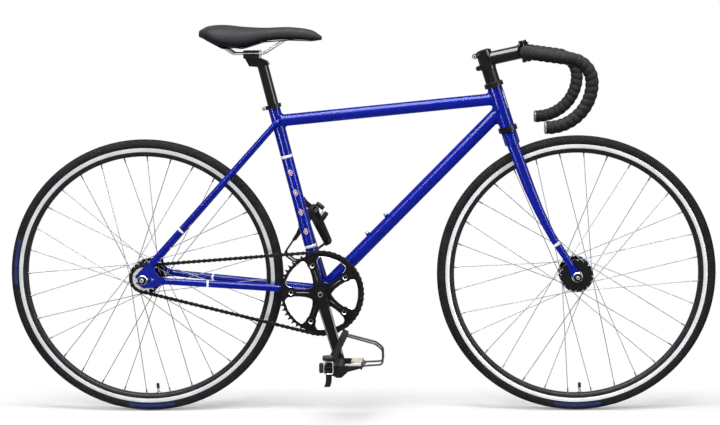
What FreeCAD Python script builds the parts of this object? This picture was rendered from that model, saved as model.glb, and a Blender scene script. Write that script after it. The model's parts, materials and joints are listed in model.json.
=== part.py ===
# Fixed gear bicycle with a drop handlebar, a track hub and pedals with toe clips.
# Millimetres. X points forward, Y to the rider's left, Z up. The origin lies on the ground
# midway between the two axles, and the chain is on the right, at minus Y.
import FreeCAD, Part
import math
import os

os.makedirs("parts", exist_ok=True)
Vec = FreeCAD.Vector

# Layout of the bicycle
tyre_radius = 337.0
toe_room = 281.0
seat_tube_room = 90.0
crown_room = 11.5
bracket_drop = 38.0
head_angle = math.radians(72.6)
seat_angle = math.radians(76.24)
top_tube_angle = math.radians(5.2)
fork_rake = 50.4
head_tube_length = 100.0
seat_tube_length = 470.0
top_tube_drop = 29.8
down_tube_rise = 43.34

# Fits
joint_gap = 0.05
seat_gap = 0.1
running_gap = 0.05
body_gap = 0.4
overrun = 5.0
ring_upright_share = 0.9

# Frame tubes
tube_wall = 1.2
head_tube_radius = 18.0
top_tube_radius = 14.5
down_tube_radius = 16.2
seat_tube_radius = 14.7
shell_radius = 20.0
shell_bore_radius = 17.2
shell_width = 68.0
stay_bend_lead = 121.0
stay_bend_rise = 12.5
stay_bend_half_width = 30.5
stay_shell_half_width = 25.0
chain_stay_end_radius = 8.0
chain_stay_bend_radius = 9.0
chain_stay_shell_radius = 10.0
seat_stay_low_radius = 8.0
seat_stay_top_radius = 7.0
seat_stay_top_half_width = 21.0
seat_stay_top_drop = 43.0
bridge_radius = 5.0
seat_bridge_share = 0.70
chain_bridge_share = 0.62

# Rear track ends
rear_spacing = 120.0
track_end_thickness = 6.0
track_slot_width = 10.4
track_slot_front = 14.0
track_end_back = 18.0
track_end_height = 22.0
chain_stay_socket_front = 53.5
chain_stay_socket_drop = 3.0
seat_stay_socket_front = 24.5
seat_stay_socket_rise = 42.0
track_upper_shares = [(-0.97, 0.5), (0.36, 1.57), (1.25, 2.08), (1.64, 1.48), (1.69, 0.91), (2.25, 0.41)]
track_lower_shares = [(2.97, 0.23), (2.92, -0.55), (2.42, -0.5), (1.36, -0.86), (0.08, -0.91), (-0.86, -0.36)]

# Bottle bosses
boss_spacing = 64.0
boss_first = 178.5
boss_flange_radius = 5.5
boss_flange_height = 3.0
boss_shank_radius = 3.6
boss_depth = 9.0
boss_hole_radius = 2.5

# Headset, spacers and steerer
steerer_radius = 14.3
steerer_wall = 2.0
cup_radius = 23.0
upper_cup_height = 7.5
lower_cup_height = 12.0
cup_skirt_radius = 16.3
cup_skirt_length = 9.0
cup_skirt_wall = 1.4
bearing_radius = 20.5
bearing_height = 5.0
race_radius = 19.0
race_height = 2.6
cone_height = 5.0
cone_lip = 2.0
spacer_radius = 17.6
spacer_height = 10.9
spacer_count = 3
top_cap_radius = 16.5
top_cap_height = 3.6
top_cap_edge = 1.4
top_cap_flat_share = 0.6

# Seat post, collar and saddle
post_radius = 13.6
post_exposed = 92.0
post_length = 250.0
post_wall = 2.5
seat_slot_length = 40.0
collar_height = 9.5
collar_wall = 4.2
collar_ear_length = 9.0
collar_ear_width = 13.0
collar_slit = 2.0
collar_bolt_radius = 2.5
head_setback = 17.0
head_rise = 39.5
head_length = 38.0
head_drop = 33.0
head_width = 26.0
head_shares = [(-0.18, -0.94), (-0.46, -0.35), (0.58, -0.35), (0.96, -0.55), (1.1, -0.82), (0.42, -1.0)]
clamp_bolt_radius = 3.0
cradle_height = 8.0
rail_half_width = 22.0
rail_radius = 3.5
rail_bend_radius = 13.0
saddle_length = 293.0
saddle_width = 136.0
saddle_height = 61.0
saddle_setback = 124.9
saddle_rise = 8.8
saddle_shell_thickness = 2.6
saddle_station_shares = [0.0, 0.07, 0.2, 0.36, 0.53, 0.74, 0.92, 1.0]
saddle_width_shares = [0.42, 0.82, 1.0, 0.82, 0.48, 0.32, 0.27, 0.13]
saddle_top_shares = [0.66, 0.95, 0.99, 0.91, 0.86, 0.87, 0.74, 0.5]
saddle_under_shares = [0.56, 0.38, 0.06, 0.04, 0.28, 0.34, 0.3, 0.35]
saddle_shell_width_share = 0.8
saddle_foot_share = 0.86
saddle_shoulder_share = 0.8
saddle_shoulder_rise_share = 0.78
saddle_bulge_rise_share = 0.36
rail_tail_share = 0.2
rail_nose_share = 0.74
rail_nose_spread_share = 0.55
rail_tail_spread_share = 1.35
rail_rear_share = -1.15
rail_front_share = 0.75
rail_sides = 10

# Fork
crown_height = 30.0
crown_depth = 26.0
crown_base_radius = 18.5
crown_socket_radius = 15.0
brake_hole_radius = 3.0
blade_top_half_width = 30.0
front_spacing = 100.0
fork_end_thickness = 5.5
fork_end_width = 24.0
fork_end_length = 45.0
fork_slot_width = 9.6
fork_eye_shares = [(0.0, 1.0), (-0.8, 0.6), (-0.8, -0.6), (0.0, -1.0)]
blade_height_shares = [0.885, 0.74, 0.59, 0.455, 0.35, 0.27, 0.185, 0.075]
blade_rake_shares = [0.0, 0.055, 0.12, 0.225, 0.35, 0.46, 0.64, 0.885]
blade_depths = [28.0, 27.5, 26.0, 22.5, 20.0, 18.0, 17.0, 15.0]
blade_widths = [20.0, 20.0, 19.5, 18.0, 16.5, 15.5, 14.5, 13.5]

# Stem and handlebar
stem_length = 94.5
stem_angle = math.radians(11.7)
stem_radius = 16.5
stem_clamp_radius = 19.0
stem_clamp_height = 44.0
stem_neck_rise = 23.0
stem_slit = 3.0
stem_lug_radius = 5.8
stem_ear_width = 24.0
stem_bolt_radius = 2.5
stem_bolt_head_radius = 4.2
stem_bolt_head = 4.0
stem_bolt_spacing = 30.0
stem_bolt_reach = 24.0
face_clamp_radius = 18.5
face_clamp_width = 40.0
face_gap = 2.4
face_ear_height = 52.0
face_ear_depth = 10.0
face_bolt_rise = 21.5
face_bolt_offset = 13.0
bar_radius = 12.7
bar_wall = 2.0
bar_width = 400.0
bar_reach = 142.0
bar_drop = 169.5
bar_ramp = math.radians(8.4)
bar_bend_radius = 45.0
bar_hook_radius = 55.0
bar_drop_radius = 100.0
bar_tail = 3.0
tape_radius = 15.6
tape_ridge = 1.2
tape_turns = 20
tape_start = 62.0
tape_slope_share = 0.82
tape_sides = 14
bar_step = math.radians(15.0)
plug_radius = 14.6
plug_length = 5.0
plug_stem_length = 14.0

# Wheels
rim_width = 21.0
tyre_stand = 20.5
rim_depth = 21.5
rim_track_height = 12.5
rim_bed_depth = 7.5
rim_wall = 1.7
rim_nose_width = 10.0
tyre_width = 26.6
tyre_wall = 2.4
tyre_bead_turn = math.radians(-30.0)
tyre_outer_sides = 6
tyre_inner_sides = 3
tube_sides = 3
valve_radius = 3.0
valve_cap_radius = 3.8
valve_reach = 25.0
valve_cap_length = 12.0
rear_valve_angle = math.radians(273.9)
front_valve_angle = math.radians(272.1)
spoke_count = 32
spoke_crosses = 3
spoke_radius = 1.0
spoke_rim_offset = 2.5
spoke_standoff = 1.5
flange_radius = 40.0
flange_thickness = 3.4
spoke_circle_radius = 37.5
hub_body_radius = 15.5
hub_bearing_radius = 13.6
hub_bearing_width = 9.0
hub_bore_radius = 9.0
front_flange_offset = 31.0
front_hub_half = 41.0
rear_flange_offset = 29.0
rear_hub_half = 49.0
front_axle_radius = 4.5
rear_axle_radius = 5.0
locknut_radius = 9.5
axle_washer_radius = 11.7
axle_washer_thickness = 2.2
axle_nut_radius = 9.2
axle_nut_height = 8.0
axle_tip = 5.0

# Chain drive
chain_pitch = 12.7
ring_teeth = 50
sprocket_teeth = 16
ring_links = 27
sprocket_links = 7
chain_line = -43.0
chain_roller_radius = 3.85
chain_roller_width = 3.3
chain_plate_thickness = 1.2
chain_plate_height = 8.6
chain_plate_gap = 0.1
plate_end_share = 0.84
plate_waist_share = 0.62
tooth_thickness = 3.0
tooth_height = 3.0
tooth_tip_width = 1.7
tooth_seat_gap = 0.25
roller_seat_shares = [(-1.1, 0.15), (-0.62, 1.0), (0.62, 1.0), (1.1, 0.15)]
sprocket_bore_radius = 17.4
lockring_radius = 19.5
lockring_width = 4.0
lockring_bore_radius = 16.2
lockring_notches = 4

# Cranks and pedals
crank_length = 170.0
crank_angle = math.radians(-74.4)
bolt_circle_radius = 72.0
spider_arms = 5
spider_thickness = 6.0
spider_width = 17.5
spider_hub_radius = 26.0
spider_reach_shares = [0.2, 0.36, 0.5, 0.68, 1.0]
spider_width_shares = [2.0, 1.4, 1.1, 0.98, 1.05]
spider_tip_radius = 10.0
ring_window_radius = 89.5
ring_tab_width = 24.0
ring_tab_reach_shares = [1.0, 1.09, 1.17, 1.22, 1.28]
ring_tab_width_shares = [1.0, 1.08, 1.45, 2.0, 2.7]
ring_bolt_radius = 5.0
ring_bolt_head_radius = 6.2
ring_bolt_head = 1.6
crank_boss_radius = 17.0
crank_boss_length = 20.0
crank_root_width = 30.0
crank_tip_width = 25.0
crank_thickness = 13.0
crank_flare = 9.0
crank_edge = 3.2
crank_tip_share = 0.96
crank_bolt_length = 4.0
spindle_radius = 8.5
spindle_reach = 60.0
bracket_cup_flange = 2.6
bracket_cup_length = 16.0
bracket_bearing_radius = 15.5
bracket_bearing_width = 9.0
pedal_axle_radius = 6.0
pedal_flange_radius = 8.5
pedal_offset = 126.0
pedal_width = 92.0
pedal_barrel_radius = 13.0
pedal_plate_thickness = 4.0
pedal_front = 58.0
pedal_back = 32.0
pedal_heel_share = 0.45
pedal_top = 11.6
pedal_belly = 16.5
pedal_belly_shares = [(-0.17, -0.72), (-0.05, -0.98), (0.15, -0.98), (0.27, -0.62), (0.42, -0.12),
                      (1.0, 0.42)]
clip_wire_radius = 2.0
clip_spread = 44.0
clip_front = 105.0
clip_height = 78.0
clip_bend_radius = 9.0
clip_sides = 6
clip_step = math.radians(22.5)
clip_forward_shares = [0.0, 1.0, 1.0, 0.64, -1.2]
clip_rise_shares = [0.0, 0.03, 0.52, 0.72, 1.0]
clip_spread_shares = [1.0, 0.92, 0.7, 0.6, 0.5]
strap_width = 14.0
strap_thickness = 2.4
strap_outer_half = 52.0
strap_inner_half = 49.5
strap_top_half = 30.0
strap_low = -4.0
strap_shoulder = 34.0
strap_foot_x = -21.6
strap_lean = math.radians(19.0)
strap_tail_length = 30.0
buckle_share = 0.25
buckle_length = 29.0
buckle_width = 21.0
buckle_wire = 2.2
left_pedal_hang = math.radians(-128.0)


# Places worked out from the layout

def polar(angle):
    return Vec(math.cos(angle), 0, math.sin(angle))


def meet(point, along, other, other_along):
    spread = other - point
    turn = along.x * other_along.z - along.z * other_along.x
    return point + along * ((spread.x * other_along.z - spread.z * other_along.x) / turn)


def chain_centre_distance():
    # The two spans are straight between the last rollers seated on each toothed wheel
    ring_wrap = ring_links * math.pi / ring_teeth
    sprocket_wrap = sprocket_links * math.pi / sprocket_teeth
    rise = ring_pitch_radius * math.sin(ring_wrap) - sprocket_pitch_radius * math.sin(sprocket_wrap)
    run = math.sqrt((span_links * chain_pitch) ** 2 - rise ** 2)
    return run - ring_pitch_radius * math.cos(ring_wrap) - sprocket_pitch_radius * math.cos(sprocket_wrap)


origin = Vec(0, 0, 0)
lateral = Vec(0, 1, 0)
span_links = math.ceil((tyre_radius + seat_tube_room) / chain_pitch)
ring_pitch_radius = chain_pitch / (2 * math.sin(math.pi / ring_teeth))
sprocket_pitch_radius = chain_pitch / (2 * math.sin(math.pi / sprocket_teeth))
chain_run = math.sqrt(chain_centre_distance() ** 2 - bracket_drop ** 2)
front_run = tyre_radius + toe_room
wheelbase = chain_run + front_run
rear_axle = Vec(-wheelbase / 2, 0, tyre_radius)
front_axle = Vec(wheelbase / 2, 0, tyre_radius)
bracket = rear_axle + Vec(chain_run, 0, -bracket_drop)
drive_angle = math.atan2(bracket.z - rear_axle.z, bracket.x - rear_axle.x)
steer_up = polar(math.pi - head_angle)
steer_forward = polar(math.pi / 2 - head_angle)
steer_foot = front_axle - steer_forward * fork_rake
seat_up = polar(math.pi - seat_angle)
seat_back = polar(math.pi * 3 / 2 - seat_angle)


def on_steerer(height, forward=0.0, left=0.0):
    return steer_foot + steer_up * height + steer_forward * forward + lateral * left


fork_span = tyre_radius + crown_room + crown_height + race_height + lower_cup_height
head_bottom = fork_span
head_top = fork_span + head_tube_length
top_tube_front = on_steerer(head_top - top_tube_drop)
top_tube_rear = meet(top_tube_front, polar(top_tube_angle), bracket, seat_up)
down_tube_front = on_steerer(head_bottom + down_tube_rise)
down_tube_angle = math.atan2(down_tube_front.z - bracket.z, down_tube_front.x - bracket.x)
seat_tube_top = bracket + seat_up * seat_tube_length
crown_top = head_bottom - lower_cup_height - race_height
crown_low = crown_top - crown_height
cone_low = head_top + upper_cup_height + body_gap
spacers_low = cone_low + cone_height
stem_low = spacers_low + spacer_height * spacer_count
stem_high = stem_low + stem_clamp_height
stem_along = polar(stem_angle)
stem_rise = polar(stem_angle + math.pi / 2)
stem_middle = on_steerer(stem_low + stem_neck_rise)
bar_centre = stem_middle + stem_along * stem_length
track_half = rear_spacing / 2
track_middle = track_half + track_end_thickness / 2
fork_half = front_spacing / 2
fork_middle = fork_half + fork_end_thickness / 2
right_pedal_axle = bracket + polar(crank_angle) * crank_length - lateral * pedal_offset
left_pedal_axle = bracket - polar(crank_angle) * crank_length + lateral * pedal_offset
spider_inner = -chain_line + tooth_thickness / 2 + joint_gap
crank_inner = spider_inner + spider_thickness
crank_outer = crank_inner + crank_thickness
boss_outer = spider_inner + crank_boss_length
post_top = seat_tube_top + seat_up * post_exposed
clamp_middle = post_top + seat_back * head_setback + seat_up * head_rise
saddle_tail_x = clamp_middle.x - saddle_setback
saddle_low_z = clamp_middle.z + saddle_rise
rim_radius = tyre_radius - tyre_stand
rim_inner_radius = rim_radius - rim_depth
rim_track_radius = rim_radius - rim_track_height
rim_bed_radius = rim_radius - rim_bed_depth


# Shape helpers

def rod(start, end, radius, end_radius=None):
    axis = end - start
    if end_radius is None:
        return Part.makeCylinder(radius, axis.Length, start, axis)
    return Part.makeCone(radius, end_radius, axis.Length, start, axis)


def tube(start, end, radius, wall):
    return rod(start, end, radius).cut(rod(start, end, radius - wall))


def cross_rod(centre, radius, low, high):
    return rod(centre + lateral * low, centre + lateral * high, radius)


def turned(profile, centre, axis):
    # Profile points are radius and height along the axis
    points = [Vec(radius, 0, height) for radius, height in profile]
    solid = Part.Face(Part.makePolygon(points + points[:1])).revolve(origin, Vec(0, 0, 1), 360)
    solid.Placement = FreeCAD.Placement(centre, FreeCAD.Rotation(Vec(0, 0, 1), axis))
    return solid


def collar(centre, axis, outer, inner, low, high):
    return turned([(inner, low), (outer, low), (outer, high), (inner, high)], centre, axis)


def slab(points, low, high):
    # Outline in the X Z plane, from one side position to another
    corners = [Vec(point.x, low, point.z) for point in points]
    return Part.Face(Part.makePolygon(corners + corners[:1])).extrude(lateral * (high - low))


def block(centre, along, across, up):
    # A box given by its middle and its three full edge vectors
    corner = centre - (along + across + up) / 2
    points = [corner, corner + along, corner + along + across, corner + across, corner]
    return Part.Face(Part.makePolygon(points)).extrude(up)


def hexagon(centre, axis, radius, length):
    side = axis.cross(Vec(axis.y, axis.z, axis.x)).normalize()
    rise = axis.cross(side)
    turns = [number * math.pi / 3 for number in range(7)]
    points = [centre + (side * math.cos(turn) + rise * math.sin(turn)) * radius for turn in turns]
    return Part.Face(Part.makePolygon(points)).extrude(axis * length)


def fused(shapes):
    return shapes[0].multiFuse(shapes[1:]).removeSplitter()


def rounded_path(points, radii):
    # Straight runs joined by tangent arcs at each inner corner
    edges = []
    start = points[0]
    for before, corner, after, radius in zip(points, points[1:], points[2:], radii):
        arriving = (corner - before).normalize()
        leaving = (after - corner).normalize()
        half_turn = arriving.getAngle(leaving) / 2
        reach = radius * math.tan(half_turn)
        inward = (leaving - arriving).normalize()
        middle = corner + inward * (radius / math.cos(half_turn) - radius)
        edges.append(Part.LineSegment(start, corner - arriving * reach).toShape())
        edges.append(Part.Arc(corner - arriving * reach, middle, corner + leaving * reach).toShape())
        start = corner + leaving * reach
    edges.append(Part.LineSegment(start, points[-1]).toShape())
    return Part.Wire(edges)


def ring_wire(centre, axis, side, radius, cross_radius=None):
    # Circle or ellipse whose seam lies on the given side
    curve = Part.Circle(centre, axis, radius)
    if cross_radius is not None:
        curve = Part.Ellipse(centre, radius, cross_radius)
        curve.Axis = axis
    curve.XAxis = side
    return Part.Wire([curve.toShape()])


def path_places(path, step):
    # Ends of the straight runs and points along the arcs, no more than one step of turn apart
    places = [path.Edges[0].valueAt(path.Edges[0].FirstParameter)]
    for edge in path.Edges:
        turn = edge.tangentAt(edge.FirstParameter).getAngle(edge.tangentAt(edge.LastParameter))
        count = max(1, math.ceil(turn / step))
        span = edge.LastParameter - edge.FirstParameter
        steps = [edge.FirstParameter + span * number / count for number in range(1, count + 1)]
        places += [edge.valueAt(step) for step in steps]
    return places


def ring_at(centre, axis, across, radius, sides):
    # Circle, or a regular outline with the given number of sides
    if sides is None:
        return ring_wire(centre, axis, across, radius)
    other = axis.cross(across)
    turns = [2 * math.pi * number / sides for number in range(sides + 1)]
    corners = [centre + (across * math.cos(turn) + other * math.sin(turn)) * radius for turn in turns]
    return Part.makePolygon(corners)


def ringed(places, radii, sides=None):
    # Ruled tube through a ring at each place, square to the run through it
    wires = []
    across = Vec(0, 0, 1)
    last = len(places) - 1
    if abs((places[1] - places[0]).normalize().dot(across)) > ring_upright_share:
        across = Vec(1, 0, 0)
    for number, (place, radius) in enumerate(zip(places, radii)):
        behind = (places[max(number, 1)] - places[max(number, 1) - 1]).normalize()
        ahead = (places[min(number, last - 1) + 1] - places[min(number, last - 1)]).normalize()
        axis = (behind + ahead).normalize()
        across = (across - axis * across.dot(axis)).normalize()
        wires.append(ring_at(place, axis, across, radius, sides))
    return Part.makeLoft(wires, True, True)


def round_tube_room(start, end, radius):
    return rod(start, end, radius + joint_gap)


# Frame

def shell_room():
    return cross_rod(bracket, shell_radius + joint_gap, -shell_width, shell_width)


def seat_tube_room():
    return round_tube_room(bracket, seat_tube_top, seat_tube_radius)


def head_tube_room():
    return round_tube_room(on_steerer(head_bottom), on_steerer(head_top), head_tube_radius)


def head_tube():
    wall = head_tube_radius - cup_skirt_radius
    return tube(on_steerer(head_bottom), on_steerer(head_top), head_tube_radius, wall)


def top_tube():
    body = tube(top_tube_rear, top_tube_front, top_tube_radius, tube_wall)
    return body.cut(seat_tube_room()).cut(head_tube_room())


def boss_places():
    along = polar(down_tube_angle)
    normal = polar(down_tube_angle + math.pi / 2)
    first = bracket + along * boss_first + normal * down_tube_radius
    return [(first + along * (boss_spacing * number), normal) for number in range(2)]


def down_tube():
    body = tube(bracket, down_tube_front, down_tube_radius, tube_wall)
    body = body.cut(shell_room()).cut(seat_tube_room()).cut(head_tube_room())
    body = body.cut(round_tube_room(top_tube_rear, top_tube_front, top_tube_radius))
    for seat, normal in boss_places():
        hole = rod(seat - normal * boss_depth, seat + normal * overrun, boss_shank_radius + joint_gap)
        body = body.cut(hole)
    return body


def bottle_bosses():
    bosses = []
    for seat, normal in boss_places():
        rise = normal * boss_flange_height
        flange = rod(seat - rise, seat + rise, boss_flange_radius)
        flange = flange.cut(round_tube_room(bracket, down_tube_front, down_tube_radius))
        shank = rod(seat - normal * boss_depth, seat + normal * boss_flange_height, boss_shank_radius)
        hole = rod(seat - normal * boss_depth, seat + normal * overrun, boss_hole_radius)
        bosses.append(fused([flange, shank]).cut(hole))
    return bosses


def seat_tube():
    body = tube(bracket, seat_tube_top, seat_tube_radius, seat_tube_radius - post_radius - running_gap)
    slot_centre = seat_tube_top + seat_back * seat_tube_radius
    slot = block(slot_centre, seat_back * seat_tube_radius, lateral * collar_slit,
                 seat_up * (seat_slot_length * 2))
    return body.cut(shell_room()).cut(slot)


def bottom_bracket_shell():
    half = lateral * (shell_width / 2)
    return tube(bracket - half, bracket + half, shell_radius, shell_radius - shell_bore_radius)


def track_end_outline():
    # Corners as shares of the plate's reach behind the axle and its height above it
    return [rear_axle + Vec(back * track_end_back, 0, up * track_end_height)
            for back, up in track_upper_shares + track_lower_shares]


def track_end_room(side):
    half = track_end_thickness / 2 + joint_gap
    return slab(track_end_outline(), side * track_middle - half, side * track_middle + half)


def rear_dropouts():
    plates = []
    for side in (-1, 1):
        half = track_end_thickness / 2
        plate = slab(track_end_outline(), side * track_middle - half, side * track_middle + half)
        front = rear_axle + Vec(track_slot_front, side * track_middle, 0)
        back = rear_axle + Vec(-track_end_back - overrun, side * track_middle, 0)
        slot = block((front + back) / 2, front - back, lateral * (track_end_thickness + overrun),
                     Vec(0, 0, track_slot_width))
        slot_end = cross_rod(front, track_slot_width / 2, -track_end_thickness, track_end_thickness)
        plates.append(plate.cut(slot).cut(slot_end))
    return plates


def chain_stay_places(side):
    socket = rear_axle + Vec(chain_stay_socket_front, side * track_middle, -chain_stay_socket_drop)
    bend = bracket + Vec(-stay_bend_lead, side * stay_bend_half_width, stay_bend_rise)
    return socket, bend, bracket + lateral * (side * stay_shell_half_width)


def chain_stay(side):
    socket, bend, root = chain_stay_places(side)
    rear_part = rod(socket, bend, chain_stay_end_radius, chain_stay_bend_radius)
    front_part = rod(bend, root, chain_stay_bend_radius, chain_stay_shell_radius)
    body = fused([rear_part, Part.makeSphere(chain_stay_bend_radius, bend), front_part])
    return body.cut(shell_room()).cut(seat_tube_room()).cut(track_end_room(side))


def bridge(ends, stays):
    bar = rod(ends[0], ends[1], bridge_radius)
    for stay in stays:
        bar = bar.cut(stay)
    return max(bar.Solids, key=lambda solid: solid.Volume)


def chain_stays():
    stays = [chain_stay(-1), chain_stay(1)]
    ends = []
    for side in (-1, 1):
        socket, bend, root = chain_stay_places(side)
        ends.append(root + (bend - root) * chain_bridge_share)
    return stays + [bridge(ends, stays)]


def seat_stay_places(side):
    low = rear_axle + Vec(seat_stay_socket_front, side * track_middle, seat_stay_socket_rise)
    top = seat_tube_top - seat_up * seat_stay_top_drop
    return low, top + lateral * (side * seat_stay_top_half_width)


def seat_stay(side):
    low, top = seat_stay_places(side)
    tip = top + (top - low).normalize() * seat_stay_top_radius
    cap = rod(top, tip, seat_stay_top_radius, seat_stay_top_radius / 2)
    body = fused([rod(low, top, seat_stay_low_radius, seat_stay_top_radius), cap])
    return body.cut(seat_tube_room()).cut(track_end_room(side))


def seat_stays():
    stays = [seat_stay(-1), seat_stay(1)]
    ends = []
    for side in (-1, 1):
        low, top = seat_stay_places(side)
        ends.append(low + (top - low) * seat_bridge_share)
    middle = (ends[0] + ends[1]) / 2
    reach = seat_back * (bridge_radius * 2)
    hole = rod(middle - reach, middle + reach, brake_hole_radius)
    return stays + [bridge(ends, stays).cut(hole)]


def headset_cups():
    # Each cup stands on an end of the head tube, with a skirt pressed inside it
    skirt = cup_skirt_radius - joint_gap
    inner = cup_skirt_radius - cup_skirt_wall
    cups = []
    ends = [(head_top, steer_up, upper_cup_height), (head_bottom, steer_up * -1, lower_cup_height)]
    for end, out, height in ends:
        seat = height - bearing_height
        profile = [(inner, -cup_skirt_length), (skirt, -cup_skirt_length), (skirt, 0), (cup_radius, 0),
                   (cup_radius, height), (bearing_radius, height), (bearing_radius, seat), (inner, seat)]
        cups.append(turned(profile, on_steerer(end), out))
    return cups


def headset_bearings():
    outer = bearing_radius - joint_gap
    inner = steerer_radius + running_gap
    upper_seat = upper_cup_height - bearing_height
    lower_seat = lower_cup_height - bearing_height
    lower_end = lower_cup_height - body_gap
    return [collar(on_steerer(head_top), steer_up, outer, inner, upper_seat, upper_cup_height),
            collar(on_steerer(head_bottom), steer_up * -1, outer, inner, lower_seat, lower_end)]


def seat_collar():
    outer = seat_tube_radius + collar_wall
    start = seat_tube_top - seat_up * collar_height
    ear_span = collar_ear_length + collar_wall
    ear = start + seat_up * (collar_height / 2) + seat_back * (outer + collar_ear_length - ear_span / 2)
    ears = block(ear, seat_back * ear_span, lateral * collar_ear_width, seat_up * collar_height)
    body = fused([rod(start, seat_tube_top, outer), ears])
    over = seat_up * overrun
    body = body.cut(rod(start - over, seat_tube_top + over, seat_tube_radius + joint_gap))
    slit = block(ear, seat_back * ear_span * 2, lateral * collar_slit, seat_up * (collar_height + overrun))
    body = body.cut(slit)
    centre = ear + seat_back * (collar_wall / 2)
    half = collar_ear_width / 2
    hole = cross_rod(centre, collar_bolt_radius + joint_gap, -half - overrun, half + overrun)
    shank = cross_rod(centre, collar_bolt_radius, -half - seat_gap, half + seat_gap)
    head = cross_rod(centre, collar_bolt_radius * 2, -half - collar_wall, -half - seat_gap)
    nut = cross_rod(centre, collar_bolt_radius * 2, half + seat_gap, half + collar_wall)
    return [body.cut(hole), fused([shank, head, nut])]


def bottom_bracket_unit():
    # A flanged cup and a bearing at each side of the shell
    pieces = []
    for side in (-1, 1):
        face = bracket + lateral * (side * shell_width / 2)
        out = lateral * side
        thread = shell_bore_radius - joint_gap
        profile = [(bracket_bearing_radius, -bracket_cup_length), (thread, -bracket_cup_length), (thread, 0),
                   (shell_radius, 0), (shell_radius, bracket_cup_flange),
                   (bracket_bearing_radius, bracket_cup_flange)]
        pieces.append(turned(profile, face, out))
        pieces.append(collar(face, out, bracket_bearing_radius - joint_gap, spindle_radius + running_gap,
                             bracket_cup_flange - bracket_bearing_width, bracket_cup_flange))
    return pieces


# Chain and toothed wheels

def chain_rollers():
    # Roller centres once round the chain, starting low on the chainring
    along = (rear_axle - bracket).normalize()
    above = Vec(along.z, 0, -along.x)
    on_ring = []
    for number in range(ring_links + 1):
        turn = (number - ring_links / 2) * 2 * math.pi / ring_teeth
        on_ring.append(bracket + (above * math.sin(turn) - along * math.cos(turn)) * ring_pitch_radius)
    on_sprocket = []
    for number in range(sprocket_links + 1):
        turn = (sprocket_links / 2 - number) * 2 * math.pi / sprocket_teeth
        outward = above * math.sin(turn) + along * math.cos(turn)
        on_sprocket.append(rear_axle + outward * sprocket_pitch_radius)
    upper = (on_sprocket[0] - on_ring[-1]) / span_links
    lower = (on_ring[0] - on_sprocket[-1]) / span_links
    upper_run = [on_ring[-1] + upper * number for number in range(1, span_links)]
    lower_run = [on_sprocket[-1] + lower * number for number in range(1, span_links)]
    return on_ring + upper_run + on_sprocket + lower_run


def chain_plate():
    # Waisted plate lying along X from its rear pin
    end = chain_plate_height / 2 * plate_end_share
    waist = chain_plate_height / 2 * plate_waist_share
    front = chain_pitch + end
    middle = chain_pitch / 2
    outline = [(-end, end), (middle, waist), (front, end), (front, -end), (middle, -waist), (-end, -end)]
    return slab([Vec(x, 0, z) for x, z in outline], -chain_plate_thickness / 2, chain_plate_thickness / 2)


def chain():
    rollers = chain_rollers()
    plate = chain_plate()
    inner = (chain_roller_width + chain_plate_thickness) / 2
    outer = inner + chain_plate_thickness + chain_plate_gap
    pieces = []
    for number, start in enumerate(rollers):
        along = rollers[(number + 1) % len(rollers)] - start
        turn = FreeCAD.Rotation(lateral, math.degrees(math.atan2(-along.z, along.x)))
        reach = inner if number % 2 else outer
        for side in (-reach, reach):
            link = plate.copy()
            link.Placement = FreeCAD.Placement(start + lateral * (chain_line + side), turn)
            pieces.append(link)
        pieces.append(hexagon(start + lateral * (chain_line - chain_roller_width / 2), lateral,
                              chain_roller_radius, chain_roller_width))
    return pieces


def toothed(centre, teeth, pitch_radius, first_tooth):
    # Each gap is a seat round a roller, between narrow tooth tips
    seat = chain_roller_radius + tooth_seat_gap
    step = 2 * math.pi / teeth
    tip_radius = pitch_radius + tooth_height
    tip_turn = tooth_tip_width / 2 / tip_radius
    points = []
    for number in range(teeth):
        tooth = first_tooth + number * step
        points += [centre + polar(tooth + turn) * tip_radius for turn in (-tip_turn, tip_turn)]
        for across, depth in roller_seat_shares:
            radius = pitch_radius - depth * seat
            points.append(centre + polar(tooth + step / 2 + across * seat / radius) * radius)
    return slab(points, chain_line - tooth_thickness / 2, chain_line + tooth_thickness / 2)


def sprocket():
    body = toothed(rear_axle, sprocket_teeth, sprocket_pitch_radius, drive_angle + math.pi)
    return body.cut(cross_rod(rear_axle, sprocket_bore_radius, chain_line - overrun, chain_line + overrun))


def lockring():
    high = chain_line - tooth_thickness / 2
    low = high - lockring_width
    body = cross_rod(rear_axle, lockring_radius, low, high)
    body = body.cut(cross_rod(rear_axle, lockring_bore_radius, low - overrun, high + overrun))
    for number in range(lockring_notches):
        notch = rear_axle + polar(number * 2 * math.pi / lockring_notches) * lockring_radius
        body = body.cut(cross_rod(notch, lockring_width / 2, low - overrun, high + overrun))
    return body


def arm_turns():
    return [crank_angle + (number + 0.5) * 2 * math.pi / spider_arms for number in range(spider_arms)]


def ring_bolt_places():
    return [bracket + polar(turn) * bolt_circle_radius for turn in arm_turns()]


def spoke_arm(turn, reach_shares, width, width_shares, low, high):
    # Arm with curved sides, by its widths at shares of the bolt circle
    along = polar(turn) * bolt_circle_radius
    across = polar(turn + math.pi / 2) * (width / 2)
    one_side = [bracket + along * reach + across * wide for reach, wide in zip(reach_shares, width_shares)]
    other_side = [bracket + along * reach - across * wide for reach, wide in zip(reach_shares, width_shares)]
    return slab(one_side + other_side[::-1], low, high)


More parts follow.
